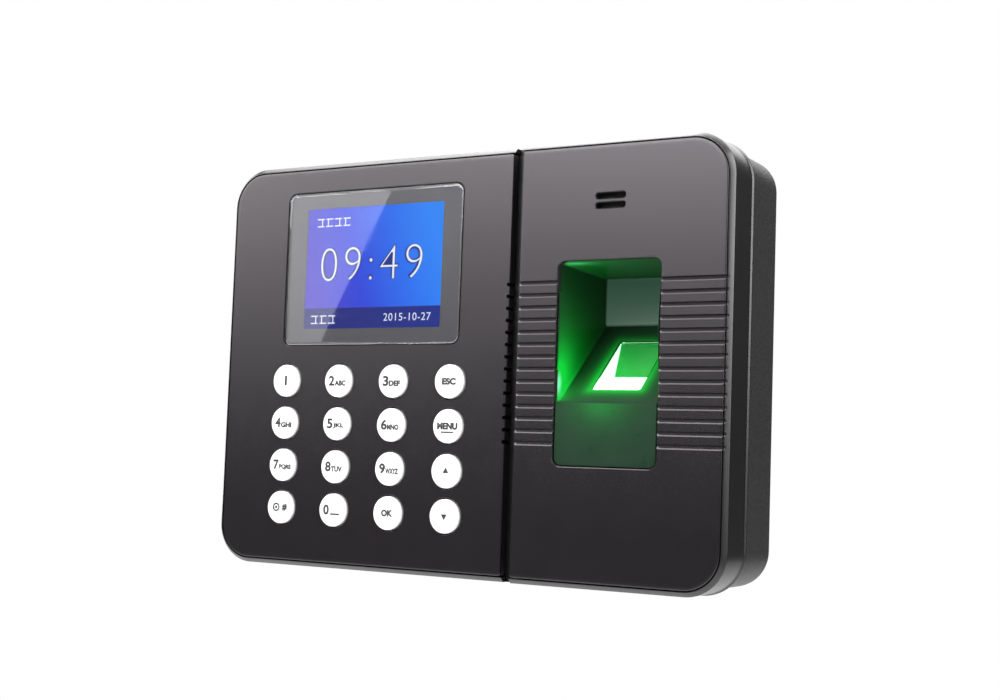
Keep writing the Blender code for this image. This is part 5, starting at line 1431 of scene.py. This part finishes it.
def make_lights():
    """A leaning box whose edge makes the display's glare, big ones for the faces, and edge lights."""
    lean = Vector((0.467, 0, 0.884))
    edge_foot = Vector((-0.642, -0.80, 0.045))
    wide, tall = 0.55, 0.62
    centre = edge_foot + lean * tall / 2 - Vector((0.884, 0, -0.467)) * wide / 2
    softbox("glare_left", centre, centre + Vector((0, 1, 0)), wide, tall, 1.8, lean)
    softbox("sheen_top", (-0.46, -0.80, 0.54), (-0.46, 0, 0.54), 1.1, 0.6, 12.0)
    softbox("key_left", (-1.20, -0.85, 0.65), (0, 0, 0), 0.8, 0.8, 5.5)
    softbox("ribs", (-0.36, -0.10, 0.85), (0, 0, 0), 0.9, 0.5, 7.5)
    softbox("edge_right", (0.96, -0.14, 0.46), (0.085, -0.036, 0.05), 0.5, 0.9, 13.0)
    softbox("edge_top", (0.06, 0.26, 0.88), (0, 0, 0.05), 1.1, 0.5, 9.0)
    softbox("edge_left", (-0.85, 0.48, 0.25), (0.02, -0.03, 0), 0.4, 0.7, 3.0)
    softbox("backdrop", (-0.25, 1.0, 0.90), (0, 0, 0), 1.2, 0.9, 2.6)
    glow_lamp("sensor_glow", on_slope(-1 * MM, -8 * MM, 3 * MM), 1.5 * MM, 0.004)
    glow_lamp("wall_glow", on_slope(-10 * MM, -11 * MM, 6 * MM), 1.0 * MM, 0.002)


def make_camera():
    """Low and from the right, with a slight roll."""
    data = bpy.data.cameras.new("camera")
    data.lens = 53.9
    data.sensor_width = 36.0
    data.clip_start = 0.01
    camera = added("camera", data)
    camera.location = Vector((226.2, -399.8, -28.2)) * MM
    pitch, roll, heading = 94.32, -2.02, 29.94
    camera.rotation_euler = Euler([math.radians(a) for a in (pitch, roll, heading)])
    bpy.context.scene.camera = camera


# --- the whole

def main():
    make_camera()
    make_floor()
    make_sky()
    make_lights()
    bpy.context.scene.view_settings.view_transform = "Standard"
    bpy.context.scene.view_settings.look = "None"

    keypad_grey = satin_grey("satin_grey_plastic", KEYPAD_Y)
    scanner_grey = satin_grey("satin_grey_ribbed", SCANNER_Y)
    black = black_plastic()
    rear = dark_grey_plastic()
    steel = plated("zinc_steel", (0.56, 0.56, 0.55), 0.30, (300, 3000, 3000))
    nickel = plated("bright_metal", (0.74, 0.73, 0.70), 0.18, (300, 3000, 3000))
    repeat = repeat_tree()

    make_front_shell(black, repeat)
    make_keypad_plate(keypad_grey, repeat, LEGENDS)
    make_scanner_plate(scanner_grey, repeat)
    cloth = simple_plastic("dust_mesh", (0.008, 0.008, 0.008), 0.6, 0.3 * MM, 0.004 * MM)
    make_dust_mesh(cloth, mesh_cloth_tree())
    make_rear_shell(rear)
    make_display(
        lens_glass(), window_print(), screen_picture(),
        screen_mark("screen_white", (0.80, 0.88, 1.0), (0.92, 0.96, 1.0), 1.0),
        screen_mark("screen_outline", (0.012, 0.03, 0.22), (0.03, 0.05, 0.30), 1.0))
    make_keys(key_plastic(), ink("key_ink", (0.014, 0.013, 0.015)), keycap_tree())
    make_well(well_green())
    make_sensor(sensor_glass(), sensor_light(), sensor_back())
    refined("wall_bracket", "hanging_bracket", steel, "zinc_steel", 0.18 * MM)
    refined("usb_port", "usb_shell", nickel, "bright_metal", 0.12 * MM)
    refined("dc_jack", "power_jack", black, "black_plastic", 0.15 * MM)
    refined("bracket_screw", "lock_screw", steel, "zinc_steel", 0.15 * MM)
    make_case_screws(steel, screw_tree())
    make_usb_tongue(simple_plastic("usb_white", (0.5, 0.5, 0.48), 0.4, 0.4 * MM, 0.004 * MM), nickel)
    dress_inner_nodes(black, steel, nickel)


main()
